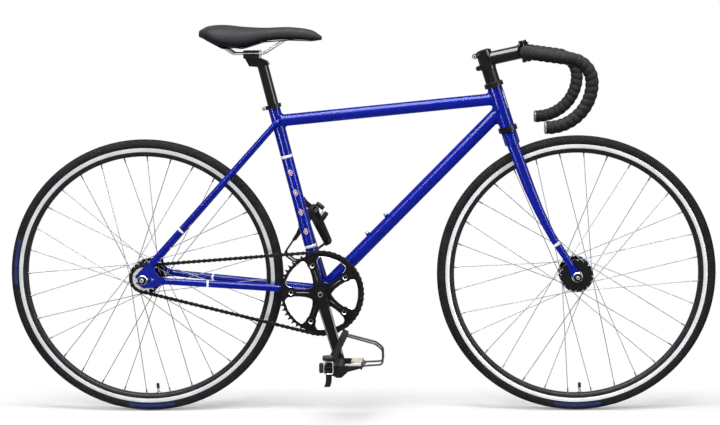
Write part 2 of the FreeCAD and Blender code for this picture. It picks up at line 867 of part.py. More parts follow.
def chainring():
    low = chain_line - tooth_thickness / 2
    high = chain_line + tooth_thickness / 2
    body = toothed(bracket, ring_teeth, ring_pitch_radius, drive_angle)
    pieces = [body.cut(cross_rod(bracket, ring_window_radius, low - overrun, high + overrun))]
    for turn, bolt in zip(arm_turns(), ring_bolt_places()):
        tab = spoke_arm(turn, ring_tab_reach_shares, ring_tab_width, ring_tab_width_shares, low, high)
        pieces.append(tab)
        pieces.append(cross_rod(bolt, ring_tab_width / 2, low, high))
    body = fused(pieces)
    for bolt in ring_bolt_places():
        body = body.cut(cross_rod(bolt, ring_bolt_radius + joint_gap, low - overrun, high + overrun))
    return body


def chainring_bolts():
    low = -crank_inner - seat_gap
    high = chain_line + tooth_thickness / 2
    bolts = []
    for bolt in ring_bolt_places():
        shank = cross_rod(bolt, ring_bolt_radius, low, high)
        bolts.append(fused([shank, cross_rod(bolt, ring_bolt_head_radius, low - ring_bolt_head, low)]))
    return bolts


# Cranks

def crank_section(place, side, width, flare):
    # Flat bar with bevelled edges
    across = polar(crank_angle + math.pi / 2)
    corners = []
    for wide, deep in ((-1, -1), (1, -1), (1, 1), (-1, 1)):
        bevels = [(0, crank_edge), (crank_edge, 0)] if wide * deep > 0 else [(crank_edge, 0), (0, crank_edge)]
        for in_wide, in_deep in bevels:
            level = crank_inner + flare + in_deep if deep < 0 else crank_outer + flare - in_deep
            corners.append(place + across * (wide * (width / 2 - in_wide)) + lateral * (side * level))
    return Part.makePolygon(corners + corners[:1])


def crank_arm(side):
    # The arm narrows and flares outwards towards the pedal eye
    eye = bracket - polar(crank_angle) * (side * crank_length)
    sections = [crank_section(bracket, side, crank_root_width, 0.0),
                crank_section(eye, side, crank_tip_width * crank_tip_share, crank_flare)]
    arm = Part.makeLoft(sections, True, True)
    round_tip = crank_tip_width / 2
    profile = [(0, 0), (round_tip - crank_edge, 0), (round_tip, crank_edge),
               (round_tip, crank_thickness - crank_edge), (round_tip - crank_edge, crank_thickness),
               (0, crank_thickness)]
    tip = turned(profile, eye + lateral * (side * (crank_inner + crank_flare)), lateral * side)
    out = lateral * side
    boss = rod(bracket + out * spider_inner, bracket + out * boss_outer, crank_boss_radius)
    return fused([arm, tip, boss])


def crank_drilled(body, side):
    eye = bracket - polar(crank_angle) * (side * crank_length)
    out = lateral * side
    body = body.cut(rod(bracket, bracket + out * (boss_outer + overrun), spindle_radius + joint_gap))
    return body.cut(rod(eye, eye + out * pedal_offset, pedal_axle_radius + joint_gap))


def right_crank():
    low = -crank_inner
    high = -spider_inner
    pieces = [crank_arm(-1), cross_rod(bracket, spider_hub_radius, low, high)]
    for turn, bolt in zip(arm_turns(), ring_bolt_places()):
        pieces.append(spoke_arm(turn, spider_reach_shares, spider_width, spider_width_shares, low, high))
        pieces.append(cross_rod(bolt, spider_tip_radius, low, high))
    body = crank_drilled(fused(pieces), -1)
    for bolt in ring_bolt_places():
        body = body.cut(cross_rod(bolt, ring_bolt_radius + joint_gap, low - overrun, high + overrun))
    return body


def left_crank():
    return crank_drilled(crank_arm(1), 1)


def bottom_bracket_spindle():
    return cross_rod(bracket, spindle_radius, -spindle_reach, spindle_reach)


def crank_bolts():
    bolts = []
    for side in (-1, 1):
        start = bracket + lateral * (side * (spindle_reach + joint_gap))
        bolts.append(rod(start, start + lateral * (side * crank_bolt_length), spindle_radius))
    return bolts


def pedal_spindles():
    # Each spindle is screwed into a crank eye and has a flange outside it
    spindles = []
    for side, centre in ((-1, right_pedal_axle), (1, left_pedal_axle)):
        axis = Vec(centre.x, 0, centre.z)
        eye = axis + lateral * (side * (crank_inner + crank_flare))
        face = axis + lateral * (side * (crank_outer + crank_flare + joint_gap))
        pedal_face = axis + lateral * (side * (pedal_offset - pedal_width / 2 - body_gap))
        end = centre + lateral * (side * (pedal_width / 2 - pedal_plate_thickness))
        spindles.append(fused([rod(eye, end, pedal_axle_radius), rod(face, pedal_face, pedal_flange_radius)]))
    return spindles


# Pedals, drawn about their own axle and then turned and moved to it

def pedal_placed(shape, side):
    centre = right_pedal_axle if side < 0 else left_pedal_axle
    turn = 0.0 if side < 0 else left_pedal_hang
    placed = shape.copy()
    rotation = FreeCAD.Rotation(lateral, -math.degrees(turn))
    placed.Placement = FreeCAD.Placement(centre, rotation) * shape.Placement
    return placed


def pedal_side_outline():
    heel = Vec(-pedal_back, 0, -pedal_heel_share * pedal_belly)
    points = [Vec(pedal_front, 0, pedal_top), Vec(-pedal_back, 0, pedal_top), heel]
    return points + [Vec(front * pedal_front, 0, down * pedal_belly) for front, down in pedal_belly_shares]


def pedal_body(side):
    # Two side plates, front and back bars and a barrel, with slots for the strap
    half = pedal_width / 2
    plate = pedal_plate_thickness
    outline = pedal_side_outline()
    pieces = [cross_rod(origin, pedal_barrel_radius, -half, half), slab(outline, -half, -half + plate),
              slab(outline, half - plate, half)]
    for outer, inner in ((pedal_front, pedal_front - plate), (-pedal_back, -pedal_back + plate)):
        low = pedal_top - plate * 2
        bar = [Vec(outer, 0, low), Vec(inner, 0, low), Vec(inner, 0, pedal_top), Vec(outer, 0, pedal_top)]
        pieces.append(slab(bar, -half, half))
    bore_end = lateral * (side * (half - plate + body_gap))
    bore = rod(lateral * (-side * (half + overrun)), bore_end, pedal_axle_radius + running_gap)
    return pedal_placed(fused(pieces).cut(bore).cut(strap_band(side, seat_gap)), side)


def toe_clip(side):
    # Two wires run from the pedal's front bar round the toe and back to the strap
    foot_low = pedal_top - pedal_plate_thickness * 2
    foot_front = pedal_front + clip_wire_radius * 2
    pieces = []
    for hand in (-1, 1):
        route = []
        for forward, rise, spread in zip(clip_forward_shares, clip_rise_shares, clip_spread_shares):
            route.append(Vec(foot_front - clip_wire_radius + forward * (clip_front - foot_front),
                             hand * spread * clip_spread / 2,
                             (foot_low + pedal_top) / 2 + rise * (clip_height - pedal_top)))
        places = path_places(rounded_path(route, [clip_bend_radius] * (len(route) - 2)), clip_step)
        pieces.append(ringed(places, [clip_wire_radius] * len(places), clip_sides))
    foot = [Vec(pedal_front + seat_gap, 0, foot_low), Vec(foot_front, 0, foot_low),
            Vec(foot_front, 0, pedal_top),
            Vec(pedal_front + seat_gap, 0, pedal_top)]
    return pedal_placed(fused([slab(foot, -clip_spread / 2, clip_spread / 2)] + pieces), side)


def strap_point(across, height):
    return Vec(strap_foot_x + (height - strap_low) * math.tan(strap_lean), across, height)


def strap_outline(side, margin):
    # Loop that passes through the pedal and over the toe, drawn in its leaning plane
    outer = side * (strap_outer_half + margin)
    inner = -side * (strap_inner_half + margin)
    top = strap_top_half + margin
    shoulder = strap_low + strap_shoulder
    corners = [(outer, strap_low - margin), (outer, shoulder), (side * top, clip_height + margin),
               (-side * top, clip_height + margin), (inner, shoulder), (inner, strap_low - margin)]
    return Part.Face(Part.makePolygon([strap_point(*corner) for corner in corners + corners[:1]]))


def strap_band(side, margin):
    normal = Vec(math.cos(strap_lean), 0, -math.sin(strap_lean))
    band = strap_outline(side, strap_thickness + margin).cut(strap_outline(side, -margin))
    width = strap_width + margin * 2
    solid = band.extrude(normal * width).Solids[0]
    solid.translate(normal * (-width / 2))
    return solid


def buckle_centre(side):
    out = side * (strap_outer_half + strap_thickness + seat_gap + buckle_wire / 2)
    return strap_point(out, strap_low + strap_shoulder * buckle_share)


def toe_strap(side):
    # Closed loop, and a free end that hangs from the buckle
    up = Vec(math.sin(strap_lean), 0, math.cos(strap_lean))
    top = buckle_centre(side) - up * (buckle_length / 2) - Vec(0, 0, strap_width / 2 * math.sin(strap_lean))
    tail = block(top - Vec(0, 0, strap_tail_length / 2), Vec(strap_width, 0, 0), lateral * strap_thickness,
                 Vec(0, 0, strap_tail_length))
    return [pedal_placed(strap_band(side, 0.0), side), pedal_placed(tail, side)]


def strap_buckle(side):
    # Open frame with a middle bar, lying against the strap's outer run
    up = Vec(math.sin(strap_lean), 0, math.cos(strap_lean))
    across = Vec(math.cos(strap_lean), 0, -math.sin(strap_lean))
    centre = buckle_centre(side)
    frame = block(centre, across * buckle_width, lateral * buckle_wire, up * buckle_length)
    opening = block(centre, across * (buckle_width - buckle_wire * 2), lateral * (buckle_wire + overrun),
                    up * (buckle_length - buckle_wire * 2))
    bar = block(centre, across * buckle_width, lateral * buckle_wire, up * buckle_wire)
    return pedal_placed(fused([frame.cut(opening), bar]), side)


# Wheels

def rim(axle, valve_angle):
    half = rim_width / 2
    wall = half - rim_wall
    nose = rim_nose_width / 2
    profile = [(rim_radius, half), (rim_track_radius, half), (rim_inner_radius, nose),
               (rim_inner_radius, -nose),
               (rim_track_radius, -half), (rim_radius, -half), (rim_radius, -wall), (rim_bed_radius, -wall),
               (rim_bed_radius, wall), (rim_radius, wall)]
    toward = polar(valve_angle)
    hole = rod(axle + toward * (rim_inner_radius - overrun), axle + toward * (rim_bed_radius + overrun),
               valve_radius + joint_gap)
    return turned(profile, axle, lateral).cut(hole)


def tyre_arc(radius, sides, first_turn):
    # Points round the tyre's section, from the left bead over the tread to the right bead
    centre = tyre_radius - tyre_width / 2
    turns = [first_turn + (math.pi - 2 * first_turn) * number / sides for number in range(sides + 1)]
    return [(centre + radius * math.sin(turn), radius * math.cos(turn)) for turn in turns]


def tyre(axle):
    bead = rim_width / 2 - rim_wall - seat_gap
    low = rim_bed_radius + seat_gap
    outer = tyre_arc(tyre_width / 2, tyre_outer_sides, tyre_bead_turn)
    inner = tyre_arc(tyre_width / 2 - tyre_wall * 2, tyre_inner_sides, 0.0)
    left = [(low, bead - tyre_wall), (low, bead), (outer[0][0], bead)]
    right = [(radius, -across) for radius, across in reversed(left)]
    return turned(left + outer + right + inner[::-1], axle, lateral)


def inner_tube(axle, valve_angle):
    section = tyre_width / 2 - tyre_wall * 2 - body_gap * 3
    top = tyre_arc(section, tube_sides, 0.0)
    bead = rim_width / 2 - rim_wall - tyre_wall - seat_gap * 4
    low = rim_bed_radius + seat_gap * 2
    ring = turned(top + [(low, -bead), (low, bead)], axle, lateral)
    toward = polar(valve_angle)
    cap_start = axle + toward * (rim_inner_radius - valve_reach + valve_cap_length)
    stem = rod(cap_start, axle + toward * (low + tyre_wall), valve_radius)
    cap = rod(axle + toward * (rim_inner_radius - valve_reach), cap_start, valve_cap_radius)
    return fused([ring, stem, cap])


def spoke_ends(axle, flange_offset, valve_angle):
    # Leading spokes leave the flange outside, trailing ones inside, and each pair crosses
    pitch = 4 * math.pi / spoke_count
    reach = spoke_crosses * pitch
    ends = []
    for side in (-1, 1):
        for number in range(spoke_count // 2):
            lead = 1 if number % 2 else -1
            rim_turn = valve_angle + (number + 0.5) * pitch + side * pitch / 4 + pitch / 2
            flange_turn = rim_turn - lead * reach
            clear = spoke_standoff if lead > 0 else seat_gap
            face = flange_offset + lead * (flange_thickness / 2 + spoke_radius + clear)
            at_rim = polar(rim_turn) * (rim_inner_radius - seat_gap) + lateral * (side * spoke_rim_offset)
            ends.append((axle + polar(flange_turn) * spoke_circle_radius + lateral * (side * face), axle + at_rim))
    return ends


def spokes(axle, flange_offset, valve_angle):
    pieces = []
    for start, end in spoke_ends(axle, flange_offset, valve_angle):
        axis = end - start
        length = axis.Length
        pieces.append(hexagon(start, axis.normalize(), spoke_radius, length))
    return pieces


def hub_profile(half, flange_offset, steps):
    # Half of the outline from the middle out, then mirrored; steps are radii and their ends
    inner_face = flange_offset - flange_thickness / 2
    outer_face = flange_offset + flange_thickness / 2
    outside = [(hub_body_radius, inner_face), (flange_radius, inner_face), (flange_radius, outer_face)]
    last = outer_face
    for radius, end in steps:
        outside += [(radius, last), (radius, end)]
        last = end
    seat = half - hub_bearing_width
    seat_radius = hub_bearing_radius + joint_gap
    outside += [(seat_radius, half), (seat_radius, seat), (hub_bore_radius, seat)]
    return outside + [(radius, -height) for radius, height in reversed(outside)]


def front_hub():
    steps = [(hub_body_radius, front_hub_half)]
    return turned(hub_profile(front_hub_half, front_flange_offset, steps), front_axle, lateral)


def rear_hub():
    thread_end = -chain_line + tooth_thickness / 2
    steps = [(sprocket_bore_radius - joint_gap, thread_end),
             (lockring_bore_radius - joint_gap, rear_hub_half)]
    return turned(hub_profile(rear_hub_half, rear_flange_offset, steps), rear_axle, lateral)


def hub_bearings(axle, half, axle_radius):
    bore = axle_radius + running_gap
    seat = half - hub_bearing_width
    return [collar(axle, lateral * side, hub_bearing_radius, bore, seat, half) for side in (-1, 1)]


def axle_set(axle, radius, hub_half, plate_inner, plate_thickness):
    # Axle with locknuts inside the frame ends, and a washer and a nut outside each
    plate_outer = plate_inner + plate_thickness
    nut_low = plate_outer + axle_washer_thickness
    tip = nut_low + axle_nut_height + axle_tip
    pieces = [cross_rod(axle, radius, -tip, tip)]
    for side in (-1, 1):
        out = lateral * side
        pieces.append(rod(axle + out * (hub_half + body_gap), axle + out * plate_inner, locknut_radius))
        pieces.append(rod(axle + out * plate_outer, axle + out * nut_low, axle_washer_radius))
        pieces.append(hexagon(axle + out * nut_low, out, axle_nut_radius, axle_nut_height))
    return fused(pieces)


# Fork

def brake_hole():
    middle = on_steerer((crown_low + crown_top) / 2)
    reach = steer_forward * crown_depth
    return rod(middle - reach, middle + reach, brake_hole_radius)


def fork_steerer():
    body = tube(on_steerer(crown_low), on_steerer(stem_high), steerer_radius, steerer_wall)
    return body.cut(brake_hole())


def fork_crown():
    middle = on_steerer((crown_low + crown_top) / 2)
    pieces = [rod(on_steerer(crown_low), on_steerer(crown_top), crown_base_radius),
              block(middle, steer_forward * crown_depth, lateral * (blade_top_half_width * 2),
                    steer_up * (crown_height - overrun))]
    for side in (-1, 1):
        left = side * blade_top_half_width
        pieces.append(rod(on_steerer(crown_low, 0.0, left), on_steerer(crown_top - overrun / 2, 0.0, left),
                          crown_socket_radius))
    body = fused(pieces).cut(rod(on_steerer(crown_low - overrun), on_steerer(crown_top + overrun),
                                 steerer_radius + joint_gap))
    return body.cut(brake_hole())


def blade_place(height_share, rake_share, side):
    # The blades spread evenly from the crown to the fork ends
    down = (blade_height_shares[0] - height_share) / blade_height_shares[0]
    left = blade_top_half_width + (fork_middle - blade_top_half_width) * down
    return on_steerer(height_share * fork_span, rake_share * fork_rake, side * left)


def fork_blade(side):
    places = [blade_place(height, rake, side) for height, rake in zip(blade_height_shares, blade_rake_shares)]
    places[0] = on_steerer(crown_low - seat_gap, 0.0, side * blade_top_half_width)
    wires = []
    for number, (place, depth, width) in enumerate(zip(places, blade_depths, blade_widths)):
        before = places[max(number - 1, 0)]
        after = places[min(number + 1, len(places) - 1)]
        axis = (before - after).normalize() if number else steer_up
        fore = lateral.cross(axis).normalize()
        wires.append(ring_wire(place, axis, fore, depth / 2, width / 2))
    return Part.makeLoft(wires, True, True).cut(fork_end_room(side))


def fork_end_outline():
    # Plate from the blade's foot down to the axle, widening to a rounded eye
    half = fork_end_width / 2
    blade_foot = blade_height_shares[-1] * fork_span
    last_rise = (blade_height_shares[-2] - blade_height_shares[-1]) * fork_span
    last_rake = (blade_rake_shares[-1] - blade_rake_shares[-2]) * fork_rake
    root_rake = blade_rake_shares[-1] * fork_rake - (fork_end_length - blade_foot) * last_rake / last_rise
    eye = [(height * half, forward * half) for height, forward in fork_eye_shares]
    points = [on_steerer(fork_end_length, root_rake - half / 2),
              on_steerer(fork_end_length, root_rake + half / 2)]
    return points + [on_steerer(height, fork_rake + forward) for height, forward in eye]


def fork_end_room(side):
    half = fork_end_thickness / 2 + joint_gap
    return slab(fork_end_outline(), side * fork_middle - half, side * fork_middle + half)


def fork_dropouts():
    plates = []
    for side in (-1, 1):
        half = fork_end_thickness / 2
        plate = slab(fork_end_outline(), side * fork_middle - half, side * fork_middle + half)
        centre = front_axle + lateral * (side * fork_middle)
        mouth = centre - steer_up * fork_end_width
        slot = block((centre + mouth) / 2, steer_forward * fork_slot_width,
                     lateral * (fork_end_thickness + overrun),
                     steer_up * fork_end_width)
        top = cross_rod(centre, fork_slot_width / 2, -fork_end_thickness, fork_end_thickness)
        plates.append(plate.cut(slot).cut(top))
    return plates


def headset_spacers():
    # Crown race, bearing cover, spacer stack and top cap, all round the steerer
    inner = steerer_radius + joint_gap
    base = on_steerer(0.0)
    cover = [(inner, cone_low), (cup_radius, cone_low), (cup_radius, cone_low + cone_lip),
             (spacer_radius, spacers_low), (inner, spacers_low)]
    race = collar(base, steer_up, race_radius, inner, crown_top, crown_top + race_height)
    pieces = [race, turned(cover, base, steer_up)]
    for number in range(spacer_count):
        low = spacers_low + number * spacer_height
        pieces.append(collar(base, steer_up, spacer_radius, inner, low, low + spacer_height))
    cap = [(0, 0), (top_cap_radius, 0), (top_cap_radius, top_cap_edge),
           (top_cap_radius * top_cap_flat_share, top_cap_height), (0, top_cap_height)]
    return pieces + [turned(cap, on_steerer(stem_high), steer_up)]


# Stem and handlebar

def stem_solid():
    clamp = rod(on_steerer(stem_low), on_steerer(stem_high), stem_clamp_radius)
    lugs = []
    for place in clamp_bolt_places():
        lugs.append(cross_rod(place, stem_lug_radius, -stem_ear_width / 2, stem_ear_width / 2))
        lugs.append(block(place + steer_forward * (stem_bolt_reach / 2), steer_forward * stem_bolt_reach,
                          lateral * stem_ear_width, steer_up * (stem_lug_radius * 2)))
    neck = rod(stem_middle, bar_centre, stem_radius)
    return fused([clamp, neck, face_solid()] + lugs)


def face_solid():
    # Barrel round the bar with an upright ear for the bolts
    barrel = cross_rod(bar_centre, face_clamp_radius, -face_clamp_width / 2, face_clamp_width / 2)
    ear = block(bar_centre, stem_along * (face_ear_depth * 2), lateral * face_clamp_width,
                stem_rise * face_ear_height)
    return fused([barrel, ear])


def front_half_room(gap):
    depth = stem_length
    centre = bar_centre + stem_along * (depth / 2 + gap)
    return block(centre, stem_along * depth, lateral * stem_length, stem_rise * stem_length)


def face_bolt_places():
    return [bar_centre + stem_rise * (up * face_bolt_rise) + lateral * (left * face_bolt_offset)
            for up in (-1, 1) for left in (-1, 1)]


def clamp_bolt_places():
    middle = stem_middle - steer_forward * stem_bolt_reach
    return [middle + steer_up * (up * stem_bolt_spacing / 2) for up in (-1, 1)]


def stem_drilled(body):
    for place in face_bolt_places():
        reach = stem_along * (face_ear_depth + overrun)
        body = body.cut(rod(place - reach, place + reach, stem_bolt_radius + joint_gap))
    for place in clamp_bolt_places():
        body = body.cut(cross_rod(place, stem_bolt_radius + joint_gap, -stem_ear_width, stem_ear_width))
    return body


def stem():
    body = stem_solid()
    bore = rod(on_steerer(stem_low - overrun), on_steerer(stem_high + overrun), steerer_radius + joint_gap)
    body = body.cut(bore)
    body = body.cut(cross_rod(bar_centre, bar_radius + seat_gap, -face_clamp_width, face_clamp_width))
    slit_reach = stem_bolt_reach + stem_lug_radius
    slit_place = stem_middle - steer_forward * ((slit_reach + steerer_radius) / 2)
    slit_height = steer_up * (stem_clamp_height * 2)
    slit = block(slit_place, steer_forward * slit_reach, lateral * stem_slit, slit_height)
    return stem_drilled(body.cut(slit).cut(front_half_room(-face_gap / 2)))


def stem_faceplate():
    body = face_solid().common(front_half_room(face_gap / 2))
    bar_room = cross_rod(bar_centre, bar_radius + seat_gap, -face_clamp_width, face_clamp_width)
    return stem_drilled(body.cut(bar_room))


def stem_bolts():
    bolts = []
    for place in face_bolt_places():
        front = place + stem_along * (face_ear_depth + seat_gap)
        shank = rod(place - stem_along * face_ear_depth, front, stem_bolt_radius)
        bolts.append(fused([shank, rod(front, front + stem_along * stem_bolt_head, stem_bolt_head_radius)]))
    for place in clamp_bolt_places():
        near = -stem_ear_width / 2 - seat_gap
        shank = cross_rod(place, stem_bolt_radius, near, stem_ear_width / 2)
        bolts.append(fused([shank, cross_rod(place, stem_bolt_head_radius, near - stem_bolt_head, near)]))
    return bolts


def bar_route(side):
    # Corners from the middle of the bar to its tail
    half = side * bar_width / 2
    front = bar_centre.x + bar_reach
    low = bar_centre.z - bar_drop
    hook = Vec(front, half, bar_centre.z - bar_reach * math.tan(bar_ramp))
    tail = Vec(front - bar_drop_radius - bar_tail, half, low)
    return [bar_centre, bar_centre + lateral * half, hook, Vec(front, half, low), tail]


bar_bends = [bar_bend_radius, bar_hook_radius, bar_drop_radius]


def bar_places(side):
    return path_places(rounded_path(bar_route(side), bar_bends), bar_step)


def handlebar():
    # One bent tube from tail to tail, open at the ends for the plugs
    places = bar_places(-1)[::-1] + bar_places(1)[1:]
    body = ringed(places, [bar_radius] * len(places))
    for side in (-1, 1):
        tail = bar_route(side)[-1]
        inward = Vec(plug_stem_length + seat_gap, 0, 0)
        mouth = rod(tail - Vec(bar_tail, 0, 0), tail + inward, bar_radius - bar_wall)
        body = body.cut(mouth)
    return body


def tape_places(side):
    # Two rings for each turn: the low start and the high overlapping edge
    path = rounded_path(bar_route(side), bar_bends)
    samples = path.discretize(Distance=tape_ridge)
    first = int(tape_start / tape_ridge)
    places = []
    radii = []
    for number in range(tape_turns):
        for share, radius in ((0.0, tape_radius - tape_ridge), (tape_slope_share, tape_radius)):
            place = (number + share) / tape_turns * (len(samples) - 1 - first)
            places.append(samples[first + round(place)])
            radii.append(radius)
    return places + [samples[-1]], radii + [tape_radius - tape_ridge]


def tape_bore(side):
    places = [place for place in bar_places(side) if abs(place.y) > tape_start]
    first = bar_centre + lateral * (side * (tape_start - overrun))
    last = places[-1] - Vec(overrun, 0, 0)
    route = [first] + places[:-1] + [last]
    return ringed(route, [bar_radius + body_gap * 2] * len(route), tape_sides)


def bar_tape():
    sleeves = []
    for side in (-1, 1):
        places, radii = tape_places(side)
        sleeves.append(ringed(places, radii, tape_sides).cut(tape_bore(side)))
    return sleeves


def bar_end_plugs():
    plugs = []
    for side in (-1, 1):
        tail = bar_route(side)[-1]
        back = Vec(-1, 0, 0)
        cap = rod(tail + back * seat_gap, tail + back * plug_length, plug_radius)
        core_radius = bar_radius - bar_wall - joint_gap
        core = rod(tail - back * plug_stem_length, tail + back * plug_length, core_radius)
        plugs.append(fused([cap, core]))
    return plugs


# Seat post and saddle

def seatpost():
    # Post tube with a head that reaches back to the saddle clamp
    low = post_top - seat_up * post_length
    centre = clamp_middle
    outline = [centre + Vec(along * head_length, 0, up * head_drop) for along, up in head_shares]
    tube_top = post_top + seat_up * post_radius
    body = fused([rod(low, tube_top, post_radius), slab(outline, -head_width / 2, head_width / 2)])
    body = body.cut(rod(low - seat_up * overrun, post_top - seat_up * head_width, post_radius - post_wall))
    return body.cut(clamp_bolt(clamp_bolt_radius + joint_gap))


def clamp_bolt(radius):
    centre = clamp_middle
    return rod(centre - Vec(0, 0, head_drop / 2), centre + Vec(0, 0, rail_radius + cradle_height / 2), radius)


def rail_route(side):
    # From the tail of the saddle under it and up to the nose
    centre = clamp_middle
    spread = side * rail_half_width
    tail = Vec(saddle_tail_x + saddle_length * rail_tail_share, spread * rail_tail_spread_share,
               saddle_low_z + rail_radius * 2)
    rear = Vec(centre.x + head_length * rail_rear_share, spread, centre.z)
    front = Vec(centre.x + head_length * rail_front_share, spread, centre.z)
    nose = Vec(saddle_tail_x + saddle_length * rail_nose_share, spread * rail_nose_spread_share,
               saddle_low_z + saddle_height / 2)
    return [tail, rear, front, nose]


def saddle_rails():
    rails = []
    seat = saddle_shell().fuse(saddle_cover())
    for side in (-1, 1):
        places = path_places(rounded_path(rail_route(side), [rail_bend_radius] * 2), clip_step)
        rail = ringed(places, [rail_radius] * len(places), rail_sides).cut(seat)
        rails.append(max(rail.Solids, key=lambda solid: solid.Volume))
    return rails


def seatpost_clamp():
    # Lower cradle and upper plate hold the two rails, with one bolt between them
    centre = clamp_middle
    along = Vec(head_length, 0, 0)
    across = lateral * (rail_half_width * 2 + rail_radius * 4)
    lower_height = rail_radius + cradle_height
    lower = block(centre - Vec(0, 0, lower_height / 2), along, across, Vec(0, 0, lower_height))
    upper_middle = centre + Vec(0, 0, rail_radius + seat_gap + cradle_height / 4)
    upper = block(upper_middle, along, across, Vec(0, 0, cradle_height / 2))
    for side in (-1, 1):
        rail = lateral * (side * rail_half_width)
        lower = lower.cut(rod(centre - along + rail, centre + along + rail, rail_radius + joint_gap))
    lower = lower.cut(clamp_bolt(clamp_bolt_radius + joint_gap))
    return [lower, fused([upper, clamp_bolt(clamp_bolt_radius)])]


def saddle_station(number):
    x = saddle_tail_x + saddle_station_shares[number] * saddle_length
    half = saddle_width_shares[number] * saddle_width / 2
    top = saddle_low_z + saddle_top_shares[number] * saddle_height
    under = saddle_low_z + saddle_under_shares[number] * saddle_height + saddle_shell_thickness
    return x, half, top, under


def saddle_section(number):
    # Crowned top, sides drawn in under a rounded shoulder and a flat underside
    x, half, top, under = saddle_station(number)
    rise = top - under
    foot = half * saddle_foot_share
    shoulder = half * saddle_shoulder_share
    high = under + rise * saddle_shoulder_rise_share
    bulge = under + rise * saddle_bulge_rise_share
    corners = [Vec(x, -foot, under), Vec(x, foot, under), Vec(x, shoulder, high), Vec(x, -shoulder, high)]
    edges = [Part.LineSegment(corners[0], corners[1]).toShape(),
             Part.Arc(corners[1], Vec(x, half, bulge), corners[2]).toShape(),
             Part.Arc(corners[2], Vec(x, 0, top), corners[3]).toShape(),
             Part.Arc(corners[3], Vec(x, -half, bulge), corners[0]).toShape()]
    return Part.Wire(edges)


def saddle_cover():
    sections = [saddle_section(number) for number in range(len(saddle_station_shares))]
    return Part.makeLoft(sections, True, False)


def saddle_shell():
    # Thin base that closes the cushion from below
    sections = []
    for number in range(len(saddle_station_shares)):
        x, half, top, under = saddle_station(number)
        half = half * saddle_shell_width_share
        low = under - saddle_shell_thickness
        corners = [Vec(x, -half, low), Vec(x, half, low), Vec(x, half, under), Vec(x, -half, under)]
        sections.append(Part.makePolygon(corners + corners[:1]))
    return Part.makeLoft(sections, True, True).cut(saddle_cover())


# All the pieces

pieces = {
    "head_tube": head_tube(),
    "top_tube": top_tube(),
    "down_tube": down_tube(),
    "seat_tube": seat_tube(),
    "bottom_bracket_shell": bottom_bracket_shell(),
    "chain_stays": chain_stays(),
    "seat_stays": seat_stays(),
    "rear_dropouts": rear_dropouts(),
    "bottle_bosses": bottle_bosses(),
    "headset_cups": headset_cups(),
    "headset_bearings": headset_bearings(),
    "seat_collar": seat_collar(),
    "bottom_bracket_unit": bottom_bracket_unit(),
    "chain": chain(),
    "rear_axle": axle_set(rear_axle, rear_axle_radius, rear_hub_half, track_half, track_end_thickness),
    "fork_steerer": fork_steerer(),
    "fork_crown": fork_crown(),
    "fork_blades": [fork_blade(-1), fork_blade(1)],
    "fork_dropouts": fork_dropouts(),
    "headset_spacers": headset_spacers(),
    "stem": stem(),
    "stem_faceplate": stem_faceplate(),
    "stem_bolts": stem_bolts(),
    "handlebar": handlebar(),
    "bar_tape": bar_tape(),
    "bar_end_plugs": bar_end_plugs(),
    "front_axle": axle_set(front_axle, front_axle_radius, front_hub_half, fork_half, fork_end_thickness),
    "front_hub": front_hub(),
    "front_hub_bearings": hub_bearings(front_axle, front_hub_half, front_axle_radius),
    "front_spokes": spokes(front_axle, front_flange_offset, front_valve_angle),
    "front_rim": rim(front_axle, front_valve_angle),
    "front_tyre": tyre(front_axle),
    "front_inner_tube": inner_tube(front_axle, front_valve_angle),
    "rear_hub": rear_hub(),
    "rear_hub_bearings": hub_bearings(rear_axle, rear_hub_half, rear_axle_radius),
    "rear_spokes": spokes(rear_axle, rear_flange_offset, rear_valve_angle),
    "rear_rim": rim(rear_axle, rear_valve_angle),
    "rear_tyre": tyre(rear_axle),
    "rear_inner_tube": inner_tube(rear_axle, rear_valve_angle),
    "sprocket": sprocket(),
    "lockring": lockring(),
    "right_crank": right_crank(),
    "left_crank": left_crank(),
    "bottom_bracket_spindle": [bottom_bracket_spindle()] + crank_bolts(),
    "chainring": chainring(),
    "chainring_bolts": chainring_bolts(),
    "pedal_spindles": pedal_spindles(),
    "right_pedal_body": pedal_body(-1),
    "right_toe_clip": toe_clip(-1),
    "right_toe_strap": toe_strap(-1),
    "right_strap_buckle": strap_buckle(-1),
    "left_pedal_body": pedal_body(1),
    "left_toe_clip": toe_clip(1),
    "left_toe_strap": toe_strap(1),
    "left_strap_buckle": strap_buckle(1),
    "seatpost": seatpost(),
    "seatpost_clamp": seatpost_clamp(),
    "saddle_rails": saddle_rails(),
    "saddle_shell": saddle_shell(),
    "saddle_cover": saddle_cover(),
}

for name, shape in pieces.items():
    if isinstance(shape, list):
        shape = Part.makeCompound(shape)
    shape.exportStep("parts/" + name + ".step")
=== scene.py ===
import json
from math import atan2, ceil, copysign, cos, pi, radians, sin, sqrt, tan
from types import SimpleNamespace
import bpy
import bmesh
from mathutils import Matrix, Vector


